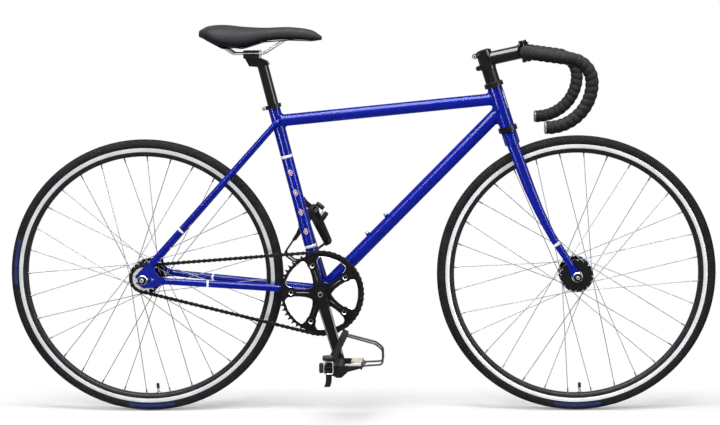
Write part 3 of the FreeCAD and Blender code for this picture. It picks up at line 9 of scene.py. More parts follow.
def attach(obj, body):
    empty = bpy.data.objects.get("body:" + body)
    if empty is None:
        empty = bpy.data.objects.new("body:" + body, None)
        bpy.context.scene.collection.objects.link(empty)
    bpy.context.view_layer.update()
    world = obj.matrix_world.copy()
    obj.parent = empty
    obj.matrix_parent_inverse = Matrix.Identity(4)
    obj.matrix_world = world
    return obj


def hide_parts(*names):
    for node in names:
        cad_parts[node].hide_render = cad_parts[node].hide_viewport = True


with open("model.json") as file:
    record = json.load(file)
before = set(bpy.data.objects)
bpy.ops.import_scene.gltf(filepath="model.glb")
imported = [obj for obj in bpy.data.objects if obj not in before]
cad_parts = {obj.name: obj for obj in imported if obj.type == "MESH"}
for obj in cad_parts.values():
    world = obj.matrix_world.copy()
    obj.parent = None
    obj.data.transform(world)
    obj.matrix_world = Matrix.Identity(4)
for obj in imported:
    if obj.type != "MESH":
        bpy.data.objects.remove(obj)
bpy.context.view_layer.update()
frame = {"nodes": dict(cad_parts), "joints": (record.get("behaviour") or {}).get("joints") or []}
nodes = frame["nodes"]
mm = 0.001
pivots = {joint["name"]: Vector(joint["pos_m"]) / mm for joint in frame["joints"] if "pos_m" in joint}
rearAxle = pivots["rear_wheel_spin"]
frontAxle = pivots["front_wheel_spin"]
bracket = pivots["crank_spin"]
lateral = Vector((0, 1, 0))  # the rider's left
print("frame loaded,", len(nodes), "nodes")


def hexColour(code):  # sRGB hex to linear
    parts = [int(code[n:n + 2], 16) / 255 for n in (0, 2, 4)]
    return [c / 12.92 if c < 0.04045 else ((c + 0.055) / 1.055) ** 2.4 for c in parts] + [1.0]


def addNode(tree, kind, inputs=None, **settings):  # an input is a value or another node's output
    node = tree.nodes.new("ShaderNode" + kind)
    for name, value in settings.items():
        setattr(node, name, value)
    for name, value in (inputs or {}).items():
        if isinstance(value, bpy.types.NodeSocket):
            tree.links.new(value, node.inputs[name])
        else:
            node.inputs[name].default_value = value
    return node


def startFinish(name, sockets):
    finish = bpy.data.materials.new(name)
    finish.use_nodes = True
    tree = finish.node_tree
    shader = tree.nodes["Principled BSDF"]
    for socket, value in sockets.items():
        shader.inputs[socket].default_value = value
    where = addNode(tree, "TexCoord").outputs["Object"]
    return SimpleNamespace(finish=finish, tree=tree, shader=shader, where=where)


def perMetre(sizeMm):  # pattern scale for a real size
    return 1000.0 / sizeMm


def patternOf(base, kind, sizeMm, output, sockets=None, **settings):  # fixed to the piece, at a real size
    inputs = {"Scale": perMetre(sizeMm), "Vector": base.where, **(sockets or {})}
    return addNode(base.tree, kind, inputs, **settings).outputs[output]


def colourBy(base, pattern, tones, stops):
    ramp = addNode(base.tree, "ValToRGB", {"Fac": pattern})
    for element, stop, code in zip(ramp.color_ramp.elements, stops, tones):
        element.position = stop
        element.color = hexColour(code)
    base.tree.links.new(ramp.outputs["Color"], base.shader.inputs["Base Color"])


def mottle(base, tones, sizeMm, detail=4.0):  # slow drift between two tones
    colourBy(base, patternOf(base, "TexNoise", sizeMm, "Fac", {"Detail": detail}), tones, (0.35, 0.7))


def roughDrift(base, sizeMm, low, high):
    cloud = patternOf(base, "TexNoise", sizeMm, "Fac", {"Detail": 5.0})
    span = addNode(base.tree, "MapRange", {"To Min": low, "To Max": high, "Value": cloud})
    base.tree.links.new(span.outputs["Result"], base.shader.inputs["Roughness"])


def embossed(base, height, depthMm, strength):  # last layer of a finish: relief in its surface
    bump = addNode(base.tree, "Bump", {"Strength": strength, "Distance": depthMm * mm, "Height": height})
    base.tree.links.new(bump.outputs["Normal"], base.shader.inputs["Normal"])
    return base.finish


# Stove enamel on steel: sprayed and baked, deep colour under a soft gloss with a faint orange peel
def stoveEnamel(name, tones):
    base = startFinish(name, {"Roughness": 0.5, "Specular IOR Level": 0.0, "Coat Weight": 0.36,
                              "Coat Roughness": 0.17, "Coat IOR": 1.3})
    mottle(base, tones, sizeMm=90, detail=2.0)
    peel = patternOf(base, "TexNoise", 3.5, "Fac", {"Detail": 1.0})
    return embossed(base, peel, depthMm=0.02, strength=0.008)


# Aluminium dyed black in the anodising bath: satin, dark, with a fine grain left by the blasting
def anodisedBlack(name, tones, low, high, coat, grainMm):
    base = startFinish(name, {"Specular IOR Level": 0.045, "Coat Weight": coat, "Coat Roughness": 0.08,
                              "Coat IOR": 1.35})
    mottle(base, tones, sizeMm=26)
    roughDrift(base, 14, low, high)
    grain = patternOf(base, "TexNoise", grainMm, "Fac", {"Detail": 3.0})
    return embossed(base, grain, depthMm=0.05, strength=0.35)


# Bare metal that was drawn, plated or turned: fine scuffs vary the gloss
def brightMetal(name, tones, low, high, scuffMm):
    base = startFinish(name, {"Metallic": 1.0})
    mottle(base, tones, sizeMm=scuffMm * 6)
    roughDrift(base, scuffMm, low, high)
    scuff = patternOf(base, "TexNoise", scuffMm, "Fac", {"Detail": 6.0})
    return embossed(base, scuff, depthMm=0.03, strength=0.25)


# Rim wall turned on a lathe: rings 0.9 mm apart, coarser than the real tool marks so that they show
def turnedTrack(name):
    base = startFinish(name, {"Metallic": 1.0, "Roughness": 0.36, "Anisotropic": 0.5})
    flat = addNode(base.tree, "VectorMath", {0: base.where, 1: (1, 0, 1)}, operation="MULTIPLY")
    reach = addNode(base.tree, "VectorMath", {0: flat.outputs["Vector"]}, operation="LENGTH")
    rings = {0: reach.outputs["Value"], 1: perMetre(0.9) * 2 * pi}
    turns = addNode(base.tree, "Math", rings, operation="MULTIPLY")
    ridge = addNode(base.tree, "Math", {0: turns.outputs["Value"]}, operation="SINE")
    mottle(base, ("bcbec1", "cbcdd0"), sizeMm=40)
    return embossed(base, ridge.outputs["Value"], depthMm=0.04, strength=0.4)


# Vulcanised rubber: matt charcoal, finely pebbled, a little dusty
def tyreRubber(name):
    base = startFinish(name, {"Roughness": 0.8, "Specular IOR Level": 0.012})
    mottle(base, ("1f1e20", "292829"), sizeMm=30)
    roughDrift(base, 9, low=0.62, high=0.82)
    pebble = patternOf(base, "TexVoronoi", 1.6, "Distance")
    return embossed(base, pebble, depthMm=0.12, strength=0.4)


# Cork and foam handlebar tape: matt black, soft pores and paler flecks of cork
def corkTape(name):
    base = startFinish(name, {"Specular IOR Level": 0.055})
    fleck = patternOf(base, "TexVoronoi", 2.4, "Distance")
    colourBy(base, fleck, ("202022", "0f0f11"), (0.06, 0.2))
    roughDrift(base, 5, low=0.68, high=0.9)
    pore = patternOf(base, "TexNoise", 0.9, "Fac", {"Detail": 4.0})
    return embossed(base, pore, depthMm=0.18, strength=0.6)


# Synthetic leather drawn over foam: dull satin with a close pebble grain
def saddleHide(name):
    base = startFinish(name, {"Specular IOR Level": 0.04, "Sheen Weight": 0.01})
    mottle(base, ("101114", "16171a"), sizeMm=36)
    roughDrift(base, 22, low=0.54, high=0.64)
    grain = patternOf(base, "TexVoronoi", 1.1, "Distance")
    return embossed(base, grain, depthMm=0.07, strength=0.35)


# Nylon webbing: woven ribs both ways, matt with a thread sheen. The ribs are 6.9 mm apart, coarser than
# the real weave so that they show
def nylonWebbing(name):
    base = startFinish(name, {"Roughness": 0.8, "Specular IOR Level": 0.04, "Sheen Weight": 0.02})
    mottle(base, ("111113", "19191b"), sizeMm=8)
    turnsPerUnit = 20 / (2 * pi)  # of the wave texture
    warp, weft = [patternOf(base, "TexWave", 6.9115 * turnsPerUnit, "Fac", {"Distortion": 0.3},
                            bands_direction=way) for way in "ZX"]
    weave = addNode(base.tree, "Math", {0: warp, 1: weft}, operation="MULTIPLY")
    return embossed(base, weave.outputs["Value"], depthMm=0.25, strength=0.6)


# Smooth plastic, lacquer or rubber: faintly uneven skin and a dull gloss
def mouldedResin(name, tones, low, high):
    base = startFinish(name, {"Specular IOR Level": 0.08})
    mottle(base, tones, sizeMm=18)
    roughDrift(base, 6, low, high)
    skin = patternOf(base, "TexNoise", 0.8, "Fac", {"Detail": 2.0})
    return embossed(base, skin, depthMm=0.08, strength=0.4)


finishes = {
    "blueEnamel": stoveEnamel("blueStoveEnamel", ("001482", "041890")),
    "whiteEnamel": stoveEnamel("whiteStoveEnamel", ("e9ebf2", "f4f5fa")),
    "redEnamel": stoveEnamel("redStoveEnamel", ("b3363c", "c24a4c")),
    "satinBlack": anodisedBlack("satinAnodisedAluminium", ("0e0e10", "151517"), 0.32, 0.44, 0.08, 0.6),
    "glossBlack": anodisedBlack("polishedAnodisedAluminium", ("0a0a0c", "101012"), 0.2, 0.3, 0.34, 0.8),
    "rimBlack": anodisedBlack("anodisedRimAluminium", ("1d1d1f", "28282a"), 0.36, 0.48, 0.0, 0.7),
    # Lighter tones than the satin black: a painted highlight standing in for the lit faces of the spider arms
    "ridgePaintedHighlight": anodisedBlack("anodisedRidgePaintedHighlight", ("1c1c1f", "262629"), 0.24, 0.34, 0.5, 0.9),
    "track": turnedTrack("turnedRimAluminium"),
    "spokeSteel": brightMetal("drawnStainlessSteel", ("4c4e52", "5c5e62"), 0.62, 0.72, 3.0),
    "plated": brightMetal("zincPlatedSteel", ("b4b5b4", "d2d2cf"), 0.2, 0.34, 2.2),
    "chrome": brightMetal("polishedSteelTube", ("96989b", "b0b2b5"), 0.18, 0.28, 4.0),
    "sprocketSteel": brightMetal("machinedSprocketSteel", ("a9aaab", "c8c9ca"), 0.26, 0.4, 2.0),
    "oxide": brightMetal("blackOxideSteel", ("101011", "1b1b1c"), 0.42, 0.56, 1.6),
    "clipWire": brightMetal("lacqueredSpringSteel", ("3c3d3f", "565759"), 0.28, 0.42, 2.5),
    "polishedEdge": brightMetal("polishedAluminiumEdge", ("77787a", "939496"), 0.2, 0.32, 2.4),
    "strawZinc": brightMetal("yellowZincSteel", ("9c967e", "b3ad97"), 0.3, 0.42, 3.0),
    "tyre": tyreRubber("vulcanisedRubber"),
    "tape": corkTape("corkBarTape"),
    "hide": saddleHide("syntheticLeather"),
    "webbing": nylonWebbing("wovenNylon"),
    "resin": mouldedResin("mouldedNylon", ("0e0e0f", "161617"), 0.42, 0.58),
    "greyResin": mouldedResin("mouldedGreyPlastic", ("77787b", "8d8e91"), 0.34, 0.48),
    "bandTape": mouldedResin("smoothVinylTape", ("151516", "1b1b1c"), 0.3, 0.42),
    "wireLacquer": mouldedResin("blackLacqueredWire", ("323235", "424245"), 0.3, 0.45),
    "rollEnd": mouldedResin("mouldedStrapRubber", ("1e1e20", "28282a"), 0.6, 0.75),
    "labelBlue": mouldedResin("printedRubberBlue", ("16235f", "213074"), 0.5, 0.62),
}
cadFinishes = {
    "blueEnamel": ["head_tube", "top_tube", "down_tube", "seat_tube", "bottom_bracket_shell", "chain_stays",
                   "seat_stays", "rear_dropouts", "bottle_bosses", "fork_crown", "fork_blades",
                   "fork_dropouts"],
    "satinBlack": ["seat_collar", "left_crank", "right_crank", "chainring", "headset_spacers",
                   "headset_cups"],
    "glossBlack": ["stem", "stem_faceplate", "handlebar", "seatpost", "seatpost_clamp", "front_hub",
                   "rear_hub"],
    "plated": ["front_axle", "rear_axle", "stem_bolts", "chainring_bolts", "right_strap_buckle",
               "left_strap_buckle", "pedal_spindles", "headset_bearings", "front_hub_bearings",
               "rear_hub_bearings", "fork_steerer"],
    "chrome": ["saddle_rails"],
    "spokeSteel": ["front_spokes", "rear_spokes"],
    "sprocketSteel": ["sprocket", "lockring"],
    "oxide": ["chain", "bottom_bracket_spindle", "bottom_bracket_unit"],
    "clipWire": ["right_toe_clip", "left_toe_clip"],
    "rimBlack": ["front_rim", "rear_rim"],
    "tyre": ["front_tyre", "rear_tyre", "front_inner_tube", "rear_inner_tube"],
    "tape": ["bar_tape"],
    "hide": ["saddle_cover"],
    "webbing": ["right_toe_strap", "left_toe_strap"],
    "resin": ["right_pedal_body", "left_pedal_body", "saddle_shell"],
    "greyResin": ["bar_end_plugs"],
}
for finishName, members in cadFinishes.items():
    for member in members:
        slots = nodes[member].material_slots
        if not slots:
            nodes[member].data.materials.append(finishes[finishName])
        for place in slots:
            place.material = finishes[finishName]
print("finishes on", sum(len(members) for members in cadFinishes.values()), "nodes")


# Shapes are worked out in mm, and put turns them into metres
def put(bm, place):
    return bm.verts.new(place * mm)


def polar(turn, reach=1.0):  # in the plane of the wheels
    return Vector((cos(turn), 0, sin(turn))) * reach


def fullTurn(count):
    return [2 * pi * n / count for n in range(count)]


def axesAbout(axis):
    along = Vector(axis).normalized()
    side = along.orthogonal().normalized()
    return side, along.cross(side), along


def ringInto(bm, centre, side, rise, turns, reaches):
    return [put(bm, centre + (side * cos(t) + rise * sin(t)) * r) for t, r in zip(turns, reaches)]


def joinRings(bm, rings, finish=0, closed=False, capped=False):  # one finish, or a list with one for each row
    rows = list(zip(rings, rings[1:] + rings[:1]))
    if not closed:
        rows.pop()
    tones = finish if isinstance(finish, list) else [finish] * len(rows)
    for tone, (low, high) in zip(tones, rows):
        for k in range(max(len(low), len(high))):
            corners = [ring[m % len(ring)] for ring, m in ((low, k), (low, k + 1), (high, k + 1), (high, k))]
            corners = [c for i, c in enumerate(corners) if c not in corners[:i]]
            bm.faces.new(corners).material_index = tone
    if capped:
        bm.faces.new(rings[0][::-1]).material_index = tones[0]
        bm.faces.new(rings[-1]).material_index = tones[-1]


def latheInto(bm, profile, centre, axis, steps=32, finish=0, closed=False):  # profile in radius and height
    side, rise, along = axesAbout(axis)
    rings = []
    for radius, height in profile:
        turns = fullTurn(steps) if radius else [0.0]
        rings.append(ringInto(bm, Vector(centre) + along * height, side, rise, turns, [radius] * steps))
    joinRings(bm, rings, finish, closed)


def tangentsOf(places, closed):
    last = len(places) - 1
    ahead = [places[(n + 1) % len(places)] if closed or n < last else places[last] for n in range(last + 1)]
    behind = [places[n - 1] if closed or n else places[0] for n in range(last + 1)]
    return [(a - b).normalized() for a, b in zip(ahead, behind)]


def sweepInto(bm, places, radii, sides=10, finish=0, closed=False):  # a radius may be a function of the turn
    if not isinstance(radii, list):
        radii = [radii] * len(places)
    tangents = tangentsOf(places, closed)
    across = tangents[0].orthogonal().normalized()
    turns = fullTurn(sides)
    rings = []
    for place, tangent, radius in zip(places, tangents, radii):
        across = (across - tangent * across.dot(tangent)).normalized()
        reaches = [radius(t) if callable(radius) else radius for t in turns]
        rings.append(ringInto(bm, place, across, tangent.cross(across), turns, reaches))
    joinRings(bm, rings, finish, closed, not closed)


def bendPath(points, radii, step=6.0):  # straight runs with round corners, drawn in steps
    corners = [Vector(p) for p in points]
    runs = [corners[0]]
    for before, corner, after, radius in zip(corners, corners[1:], corners[2:], radii):
        arriving = (corner - before).normalized()
        leaving = (after - corner).normalized()
        half = arriving.angle(leaving) / 2
        inward = (leaving - arriving).normalized()
        centre = corner + inward * (radius / cos(half))
        spoke = corner - arriving * (radius * tan(half)) - centre
        axis = arriving.cross(leaving).normalized()
        count = max(3, ceil(2 * half * radius / step))
        runs += [centre + Matrix.Rotation(2 * half * n / count, 3, axis) @ spoke for n in range(count + 1)]
    return runs + [corners[-1]]


def evenPath(points, step):  # the same path with evenly spaced places
    marks = [0.0]
    for a, b in zip(points, points[1:]):
        marks.append(marks[-1] + (b - a).length)
    count = max(2, round(marks[-1] / step))
    places, n = [], 0
    for k in range(count + 1):
        want = marks[-1] * k / count
        while n < len(marks) - 2 and marks[n + 1] < want:
            n += 1
        share = (want - marks[n]) / max(marks[n + 1] - marks[n], 1e-9)
        places.append(points[n].lerp(points[n + 1], share))
    return places


screwShape = {"sides": 24, "chamfer": 0.9, "shoulder": 0.82, "floor": 0.45}  # shares of radius and height


def capScrewInto(bm, place, axis, radius, height, key, finish=0, dark=1):  # round head with a hexagon socket
    s = screwShape
    side, rise, along = axesAbout(axis)
    turns = fullTurn(s["sides"])
    rim, chamfer = [radius] * s["sides"], [radius * s["chamfer"]] * s["sides"]
    socket = [key / cos((t + pi / 6) % (pi / 3) - pi / 6) for t in turns]
    levels = ((rim, 0.0), (rim, s["shoulder"]), (chamfer, 1.0), (socket, 1.0), (socket, s["floor"]))
    rings = []
    for reaches, share in levels:
        rings.append(ringInto(bm, place + along * (height * share), side, rise, turns, reaches))
    joinRings(bm, rings, [finish, finish, finish, dark], capped=True)


def finishPiece(name, bm, tones, body, replaces=(), sharp=38, place=None):
    bmesh.ops.recalc_face_normals(bm, faces=bm.faces)
    mesh = bpy.data.meshes.new(name)
    bm.to_mesh(mesh)
    bm.free()
    for tone in tones:
        mesh.materials.append(finishes[tone])
    mesh.shade_smooth()
    mesh.set_sharp_from_angle(angle=radians(sharp))
    piece = bpy.data.objects.new(name, mesh)
    bpy.context.scene.collection.objects.link(piece)
    if place is not None:
        piece.location = place * mm
    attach(piece, body)
    if replaces:
        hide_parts(*replaces)
    return piece


# Wheels: tyre, rim, spokes and tube, drawn about the axle. Each wheel has its flange and the valve's place
wheelSizes = {
    "front": (31.0, 272.1), "rear": (29.0, 273.9), "steps": 180,
    "tyreRadius": 337.0, "tyreHalf": 13.3, "casing": 4.0, "wrap": (-29, 238, 48), "groove": 0.35,
    "grooves": (14, 34), "beadTop": 317.2, "beadWide": 2.2, "bedGap": 0.3, "lipGap": 0.2,
    "rimRadius": 316.5, "trackLow": 306.5, "rimInner": 295.0, "rimHalf": 10.5, "noseHalf": 2.0,
    "noseShape": 0.8, "noseSteps": 7, "bed": 309.0, "lip": 8.8, "edge": (0.3, 0.4),
    "step": (0.2, 0.3, 0.25), "perSide": 16, "crossings": 3, "holeCircle": 37.5, "elbows": (-2.8, 4.2),
    "heads": (2.1, -2.1), "elbowShares": (0.42, 0.12), "elbowRuns": (0.6, 2.2), "spokeRadius": 1.0,
    "rimEnd": (295.2, 2.5), "nippleLow": 11.4,
    "spokeHead": [(0, 0.9), (1.2, 0.75), (1.9, 0.1), (1.9, -0.4), (0, -0.4)],
    "nipple": [(0, 0), (1.55, 0), (1.7, 0.8), (1.75, 8.5), (2.1, 10.5), (2.6, 12.2), (0, 12.2)],
    "tubeMiddle": 321.0, "tubeHalf": (7.6, 7.2), "threads": 22, "threadRadii": (2.65, 2.9),
    "threadLow": -12.8, "threadPitch": 0.5,
    "valveCap": [(0, -25), (2.4, -25), (3.4, -24.2), (3.8, -23), (3.8, -13.4), (3.5, -13), (2.9, -12.9)],
    "valveFoot": [(3.0, -2.2), (5.2, -2.2), (5.4, -1.6), (5.4, -0.4), (3.0, -0.3), (3.0, 21.0), (0, 21.0)]}


def tyreProfile(s):
    centre = s["tyreRadius"] - s["tyreHalf"]
    foot, lip = s["bed"] + s["bedGap"], s["lip"] - s["lipGap"]
    hook = [(foot, lip - s["beadWide"]), (foot, lip), (s["beadTop"], lip)]
    first, sweep, steps = s["wrap"]
    crown = []
    for n in range(steps + 1):
        turn = radians(first + sweep * n / steps)
        reach = s["tyreHalf"] - (s["groove"] if n in s["grooves"] else 0)  # moulded line below the tread
        crown.append((centre + reach * sin(turn), reach * cos(turn)))
    inner = s["tyreHalf"] - s["casing"]
    lining = [(centre + inner * sin(t), inner * cos(t)) for t in map(radians, range(180, -1, -20))]
    return hook + crown + [(radius, -out) for radius, out in reversed(hook)] + lining


def rimProfile(s):
    top, low, half = s["rimRadius"], s["trackLow"], s["rimHalf"]
    bevel, edge = s["edge"]
    above, below, inward = s["step"]
    side = [(top, half - bevel), (top - edge, half), (low + above, half), (low - below, half - inward)]
    for n in range(1, s["noseSteps"] + 1):
        turn = radians(90 * n / s["noseSteps"])
        nose = s["noseHalf"] + (half - s["noseHalf"]) * cos(turn) ** s["noseShape"]
        side.append((s["rimInner"] + (low - s["rimInner"]) * (1 - sin(turn)), nose))
    bed = [(top, -s["lip"]), (s["bed"], -s["lip"]), (s["bed"], s["lip"]), (top, s["lip"])]
    return side + [(radius, -out) for radius, out in reversed(side)] + bed


def spokeInto(bm, s, elbow, rimEnd, head):
    run = (rimEnd - elbow).normalized()
    high, low = s["elbowShares"]
    near, far = s["elbowRuns"]
    bend = [elbow.lerp(head, high), elbow.lerp(head, low) + run * near, elbow + run * far]
    sweepInto(bm, [head] + bend + [rimEnd], s["spokeRadius"], 8)
    latheInto(bm, s["spokeHead"], head, head - elbow, 12)
    latheInto(bm, s["nipple"], rimEnd - run * s["nippleLow"], run, 10, 1)


def spokesInto(bm, s, flange, valveTurn):  # inner and outer spokes by turns
    pitch = 2 * pi / s["perSide"]
    reach, stagger = s["rimEnd"]
    for side in (-1, 1):
        for n in range(s["perSide"]):
            lead = 1 if n % 2 else -1
            rimTurn = valveTurn + (n + 1) * pitch + side * pitch / 4
            hole = polar(rimTurn - lead * s["crossings"] * pitch, s["holeCircle"])
            elbow = hole + lateral * (side * (flange + s["elbows"][n % 2]))
            head = hole + lateral * (side * (flange + s["heads"][n % 2]))
            spokeInto(bm, s, elbow, polar(rimTurn, reach) + lateral * (side * stagger), head)


def tubeInto(bm, s, valveTurn):
    deep, wide = s["tubeHalf"]
    section = [(s["tubeMiddle"] + deep * cos(t), wide * sin(t)) for t in fullTurn(12)]
    latheInto(bm, section, (0, 0, 0), lateral, 72, 0, True)
    levels = [s["threadLow"] + n * s["threadPitch"] for n in range(s["threads"])]
    thread = [(s["threadRadii"][n % 2], level) for n, level in enumerate(levels)][1:]
    valve = s["valveCap"] + thread + s["valveFoot"]
    capRows = len(s["valveCap"]) - 1
    toward = polar(valveTurn)
    latheInto(bm, valve, toward * s["rimInner"], toward, 18, [2] * capRows + [1] * (len(valve) - 1 - capRows))


def buildWheel(which):
    s = wheelSizes
    axle, body = pivots[which + "_wheel_spin"], which + "_wheel"
    flange, valveTurn = s[which][0], radians(s[which][1])
    bm = bmesh.new()
    latheInto(bm, tyreProfile(s), (0, 0, 0), lateral, s["steps"], 0, True)
    finishPiece(which + "Tyre", bm, ["tyre"], body, [which + "_tyre"], 30, axle)
    bm = bmesh.new()
    profile = rimProfile(s)
    walls = zip(profile, profile[1:] + profile[:1])
    tones = [int(abs(a[1]) == s["rimHalf"] and a[1] == b[1]) for a, b in walls]  # 1 on the brake track
    latheInto(bm, profile, (0, 0, 0), lateral, s["steps"], tones, True)
    finishPiece(which + "Rim", bm, ["rimBlack", "track"], body, [which + "_rim"], 30, axle)
    bm = bmesh.new()
    spokesInto(bm, s, flange, valveTurn)
    tones = ["spokeSteel", "clipWire"]
    finishPiece(which + "Spokes", bm, tones, body, [which + "_spokes"], 40, axle)
    bm = bmesh.new()
    tubeInto(bm, s, valveTurn)
    tones = ["tyre", "clipWire", "resin"]
    finishPiece(which + "TubeAndValve", bm, tones, body, [which + "_inner_tube"], 35, axle)


buildWheel("front")
buildWheel("rear")
print("wheels laced")

# Chain: waisted plates, rollers and rivets, link by link round both toothed wheels
chainSizes = {
    "pitch": 12.7, "ringTeeth": 50, "sprocketTeeth": 16, "ringLinks": 27, "sprocketLinks": 7, "spanLinks": 34,
    "line": -43.0, "inner": 2.25, "outer": 3.55, "plate": 1.2, "endRadius": 4.3, "waist": 3.0,
    "waistShares": (0.36, 0.64), "endTurns": (62, 299, 26), "halves": (12, 5),
    "levels": ((-0.5, -0.25), (-0.32, 0.0), (0.32, 0.0), (0.5, -0.25)),
    "rivet": [(1.8, -0.1), (1.7, 0.35), (1.1, 0.55), (0, 0.55)],
    "roller": [(3.85, -1.6), (3.85, 1.6), (1.5, 1.6), (1.5, -1.6)]}


def chainRollers(s):  # round the ring, then back along the upper run, the sprocket and the lower run
    along = (rearAxle - bracket).normalized()
    above = Vector((along.z, 0, -along.x))

    def onWheel(centre, teeth, links, hand):
        reach = hand * s["pitch"] / 2 / sin(pi / teeth)
        turns = [(n - links / 2) * 2 * pi / teeth for n in range(links + 1)]
        return [centre + (above * sin(t) - along * cos(t)) * reach for t in turns]

    def span(start, end):
        return [start.lerp(end, n / s["spanLinks"]) for n in range(1, s["spanLinks"])]

    onRing = onWheel(bracket, s["ringTeeth"], s["ringLinks"], 1)
    onSprocket = onWheel(rearAxle, s["sprocketTeeth"], s["sprocketLinks"], -1)
    return onRing + span(onRing[-1], onSprocket[0]) + onSprocket + span(onSprocket[-1], onRing[0])


def plateOutline(s):  # two round ends with a waist between them
    pitch, waist = s["pitch"], s["waist"]
    near, far = [share * pitch for share in s["waistShares"]]
    end = [(s["endRadius"] * cos(t), s["endRadius"] * sin(t)) for t in map(radians, range(*s["endTurns"]))]
    return (end + [(near, -waist), (far, -waist)] + [(pitch - x, -z) for x, z in end]
            + [(far, waist), (near, waist)])


def plateInto(bm, s, outline, middle, along, rise):  # its outline shrinks a little towards both faces
    long, tall = s["halves"]
    rings = []
    for level, grow in s["levels"]:
        face = middle + lateral * (level * s["plate"])
        spots = [(x + grow * (x - s["pitch"] / 2) / long, z * (1 + grow / tall)) for x, z in outline]
        rings.append([put(bm, face + along * x + rise * z) for x, z in spots])
    joinRings(bm, rings, capped=True)


def buildChain():
    s = chainSizes
    bm = bmesh.new()
    rollers = [place + lateral * s["line"] for place in chainRollers(s)]
    outline = plateOutline(s)
    for n, start in enumerate(rollers):
        along = (rollers[(n + 1) % len(rollers)] - start).normalized()
        rise = Vector((-along.z, 0, along.x))
        reach = s["inner"] if n % 2 else s["outer"]
        for side in (-1, 1):
            plateInto(bm, s, outline, start + lateral * (side * reach), along, rise)
            rivet = start + lateral * (side * (s["outer"] + s["plate"] / 2))
            latheInto(bm, s["rivet"], rivet, lateral * side, 8)
        latheInto(bm, s["roller"], start, lateral, 10, 0, True)
    finishPiece("driveChain", bm, ["oxide"], "frame", ["chain"], 40)


buildChain()
print("chain joined")

# Handlebar tape wound from the tail, with a finishing band, and plugs in the tails
tapeSizes = {
    "centre": (400.9, 0, 877.1), "half": 200.0, "hook": (542.9, 856.1), "low": 707.6, "tail": 439.9,
    "bends": (45, 55, 100), "bendStep": 4.0, "step": 1.6, "start": 62.0, "radius": 15.5, "ridge": 2.0,
    "turns": 30, "crown": 0.6, "sides": 28, "band": 16.0, "bandRadius": 13.4, "bandLift": 0.5,
    "bandEnd": [13.9, 13.2],
    "plug": [(0, -14), (10.6, -14), (10.6, 0), (14.3, 0.2), (14.6, 1.0), (14.6, 3.2), (13.6, 4.4),
             (11.6, 5.0), (9.6, 4.6), (8.8, 3.4), (4.0, 3.2), (3.2, 3.9), (0, 4.0)]}


def barPath(s, side):
    centre = Vector(s["centre"])
    y = side * s["half"]
    x, z = s["hook"]
    corners = [centre, centre + lateral * y, (x, y, z), (x, y, s["low"]), (s["tail"], y, s["low"])]
    return evenPath(bendPath(corners, s["bends"], s["bendStep"]), s["step"])


def lapReach(s, laps, side):  # radius as a function of the turn: each lap is a rounded ridge
    def reach(turn):
        lap = (laps + side * turn / (2 * pi)) % 1.0
        return s["radius"] - s["ridge"] * (1 - sin(pi * lap) ** s["crown"])
    return reach


def buildTape():
    s = tapeSizes
    bm = bmesh.new()
    for side in (-1, 1):
        path = barPath(s, side)
        step = (path[1] - path[0]).length
        places = path[round(s["start"] / step):]
        lapLength = len(places) * step / s["turns"]
        count = round(s["band"] / step)
        band = [s["bandRadius"] + (s["bandLift"] if 1 < n < count - 1 else 0) for n in range(count)]
        sweepInto(bm, places[:count + 2], band + s["bandEnd"], s["sides"], 1)
        wound = [lapReach(s, n * step / lapLength, side) for n in range(count, len(places))]
        sweepInto(bm, places[count:], wound, s["sides"])
    finishPiece("woundBarTape", bm, ["tape", "bandTape"], "fork", ["bar_tape"], 50)
    bm = bmesh.new()
    for side in (-1, 1):
        latheInto(bm, s["plug"], (s["tail"], side * s["half"], s["low"]), (-1, 0, 0), 40)
    finishPiece("barPlugs", bm, ["greyResin"], "fork", ["bar_end_plugs"], 40)


buildTape()
print("bar wrapped")

# Saddle cover: one smooth skin lofted through the saddle's sections, crowned and tucked under at its edge
saddleSizes = {
    "tail": -378.0, "length": 293.0, "width": 136.0, "low": 888.0, "height": 61.0, "shell": 2.6,
    "stations": [0.0, 0.07, 0.2, 0.36, 0.53, 0.74, 0.92, 1.0],
    "widths": [0.42, 0.82, 1.0, 0.82, 0.48, 0.32, 0.27, 0.13],
    "tops": [0.79, 0.95, 0.99, 0.91, 0.86, 0.87, 0.74, 0.5],
    "unders": [0.47, 0.33, 0.06, 0.04, 0.28, 0.34, 0.3, 0.35],
    "wideShape": 0.72, "topShape": 0.86, "underShape": 0.62, "edge": 0.36, "shoulder": 0.42,
    "narrowing": 0.1, "around": 36, "ends": [0.0, 0.012, 0.03], "middle": (0.05, 0.95), "along": 40}


def smoothValue(stations, values, at):  # cubic through the stations
    last = len(stations) - 1
    n = max(k for k in range(last) if stations[k] <= at or k == 0)
    span = stations[n + 1] - stations[n]
    t = (at - stations[n]) / span

    def slope(k):
        a, b = max(k - 1, 0), min(k + 1, last)
        return (values[b] - values[a]) / (stations[b] - stations[a])

    return ((2 * t ** 3 - 3 * t ** 2 + 1) * values[n] + (t ** 3 - 2 * t ** 2 + t) * span * slope(n)
            + (3 * t ** 2 - 2 * t ** 3) * values[n + 1] + (t ** 3 - t ** 2) * span * slope(n + 1))


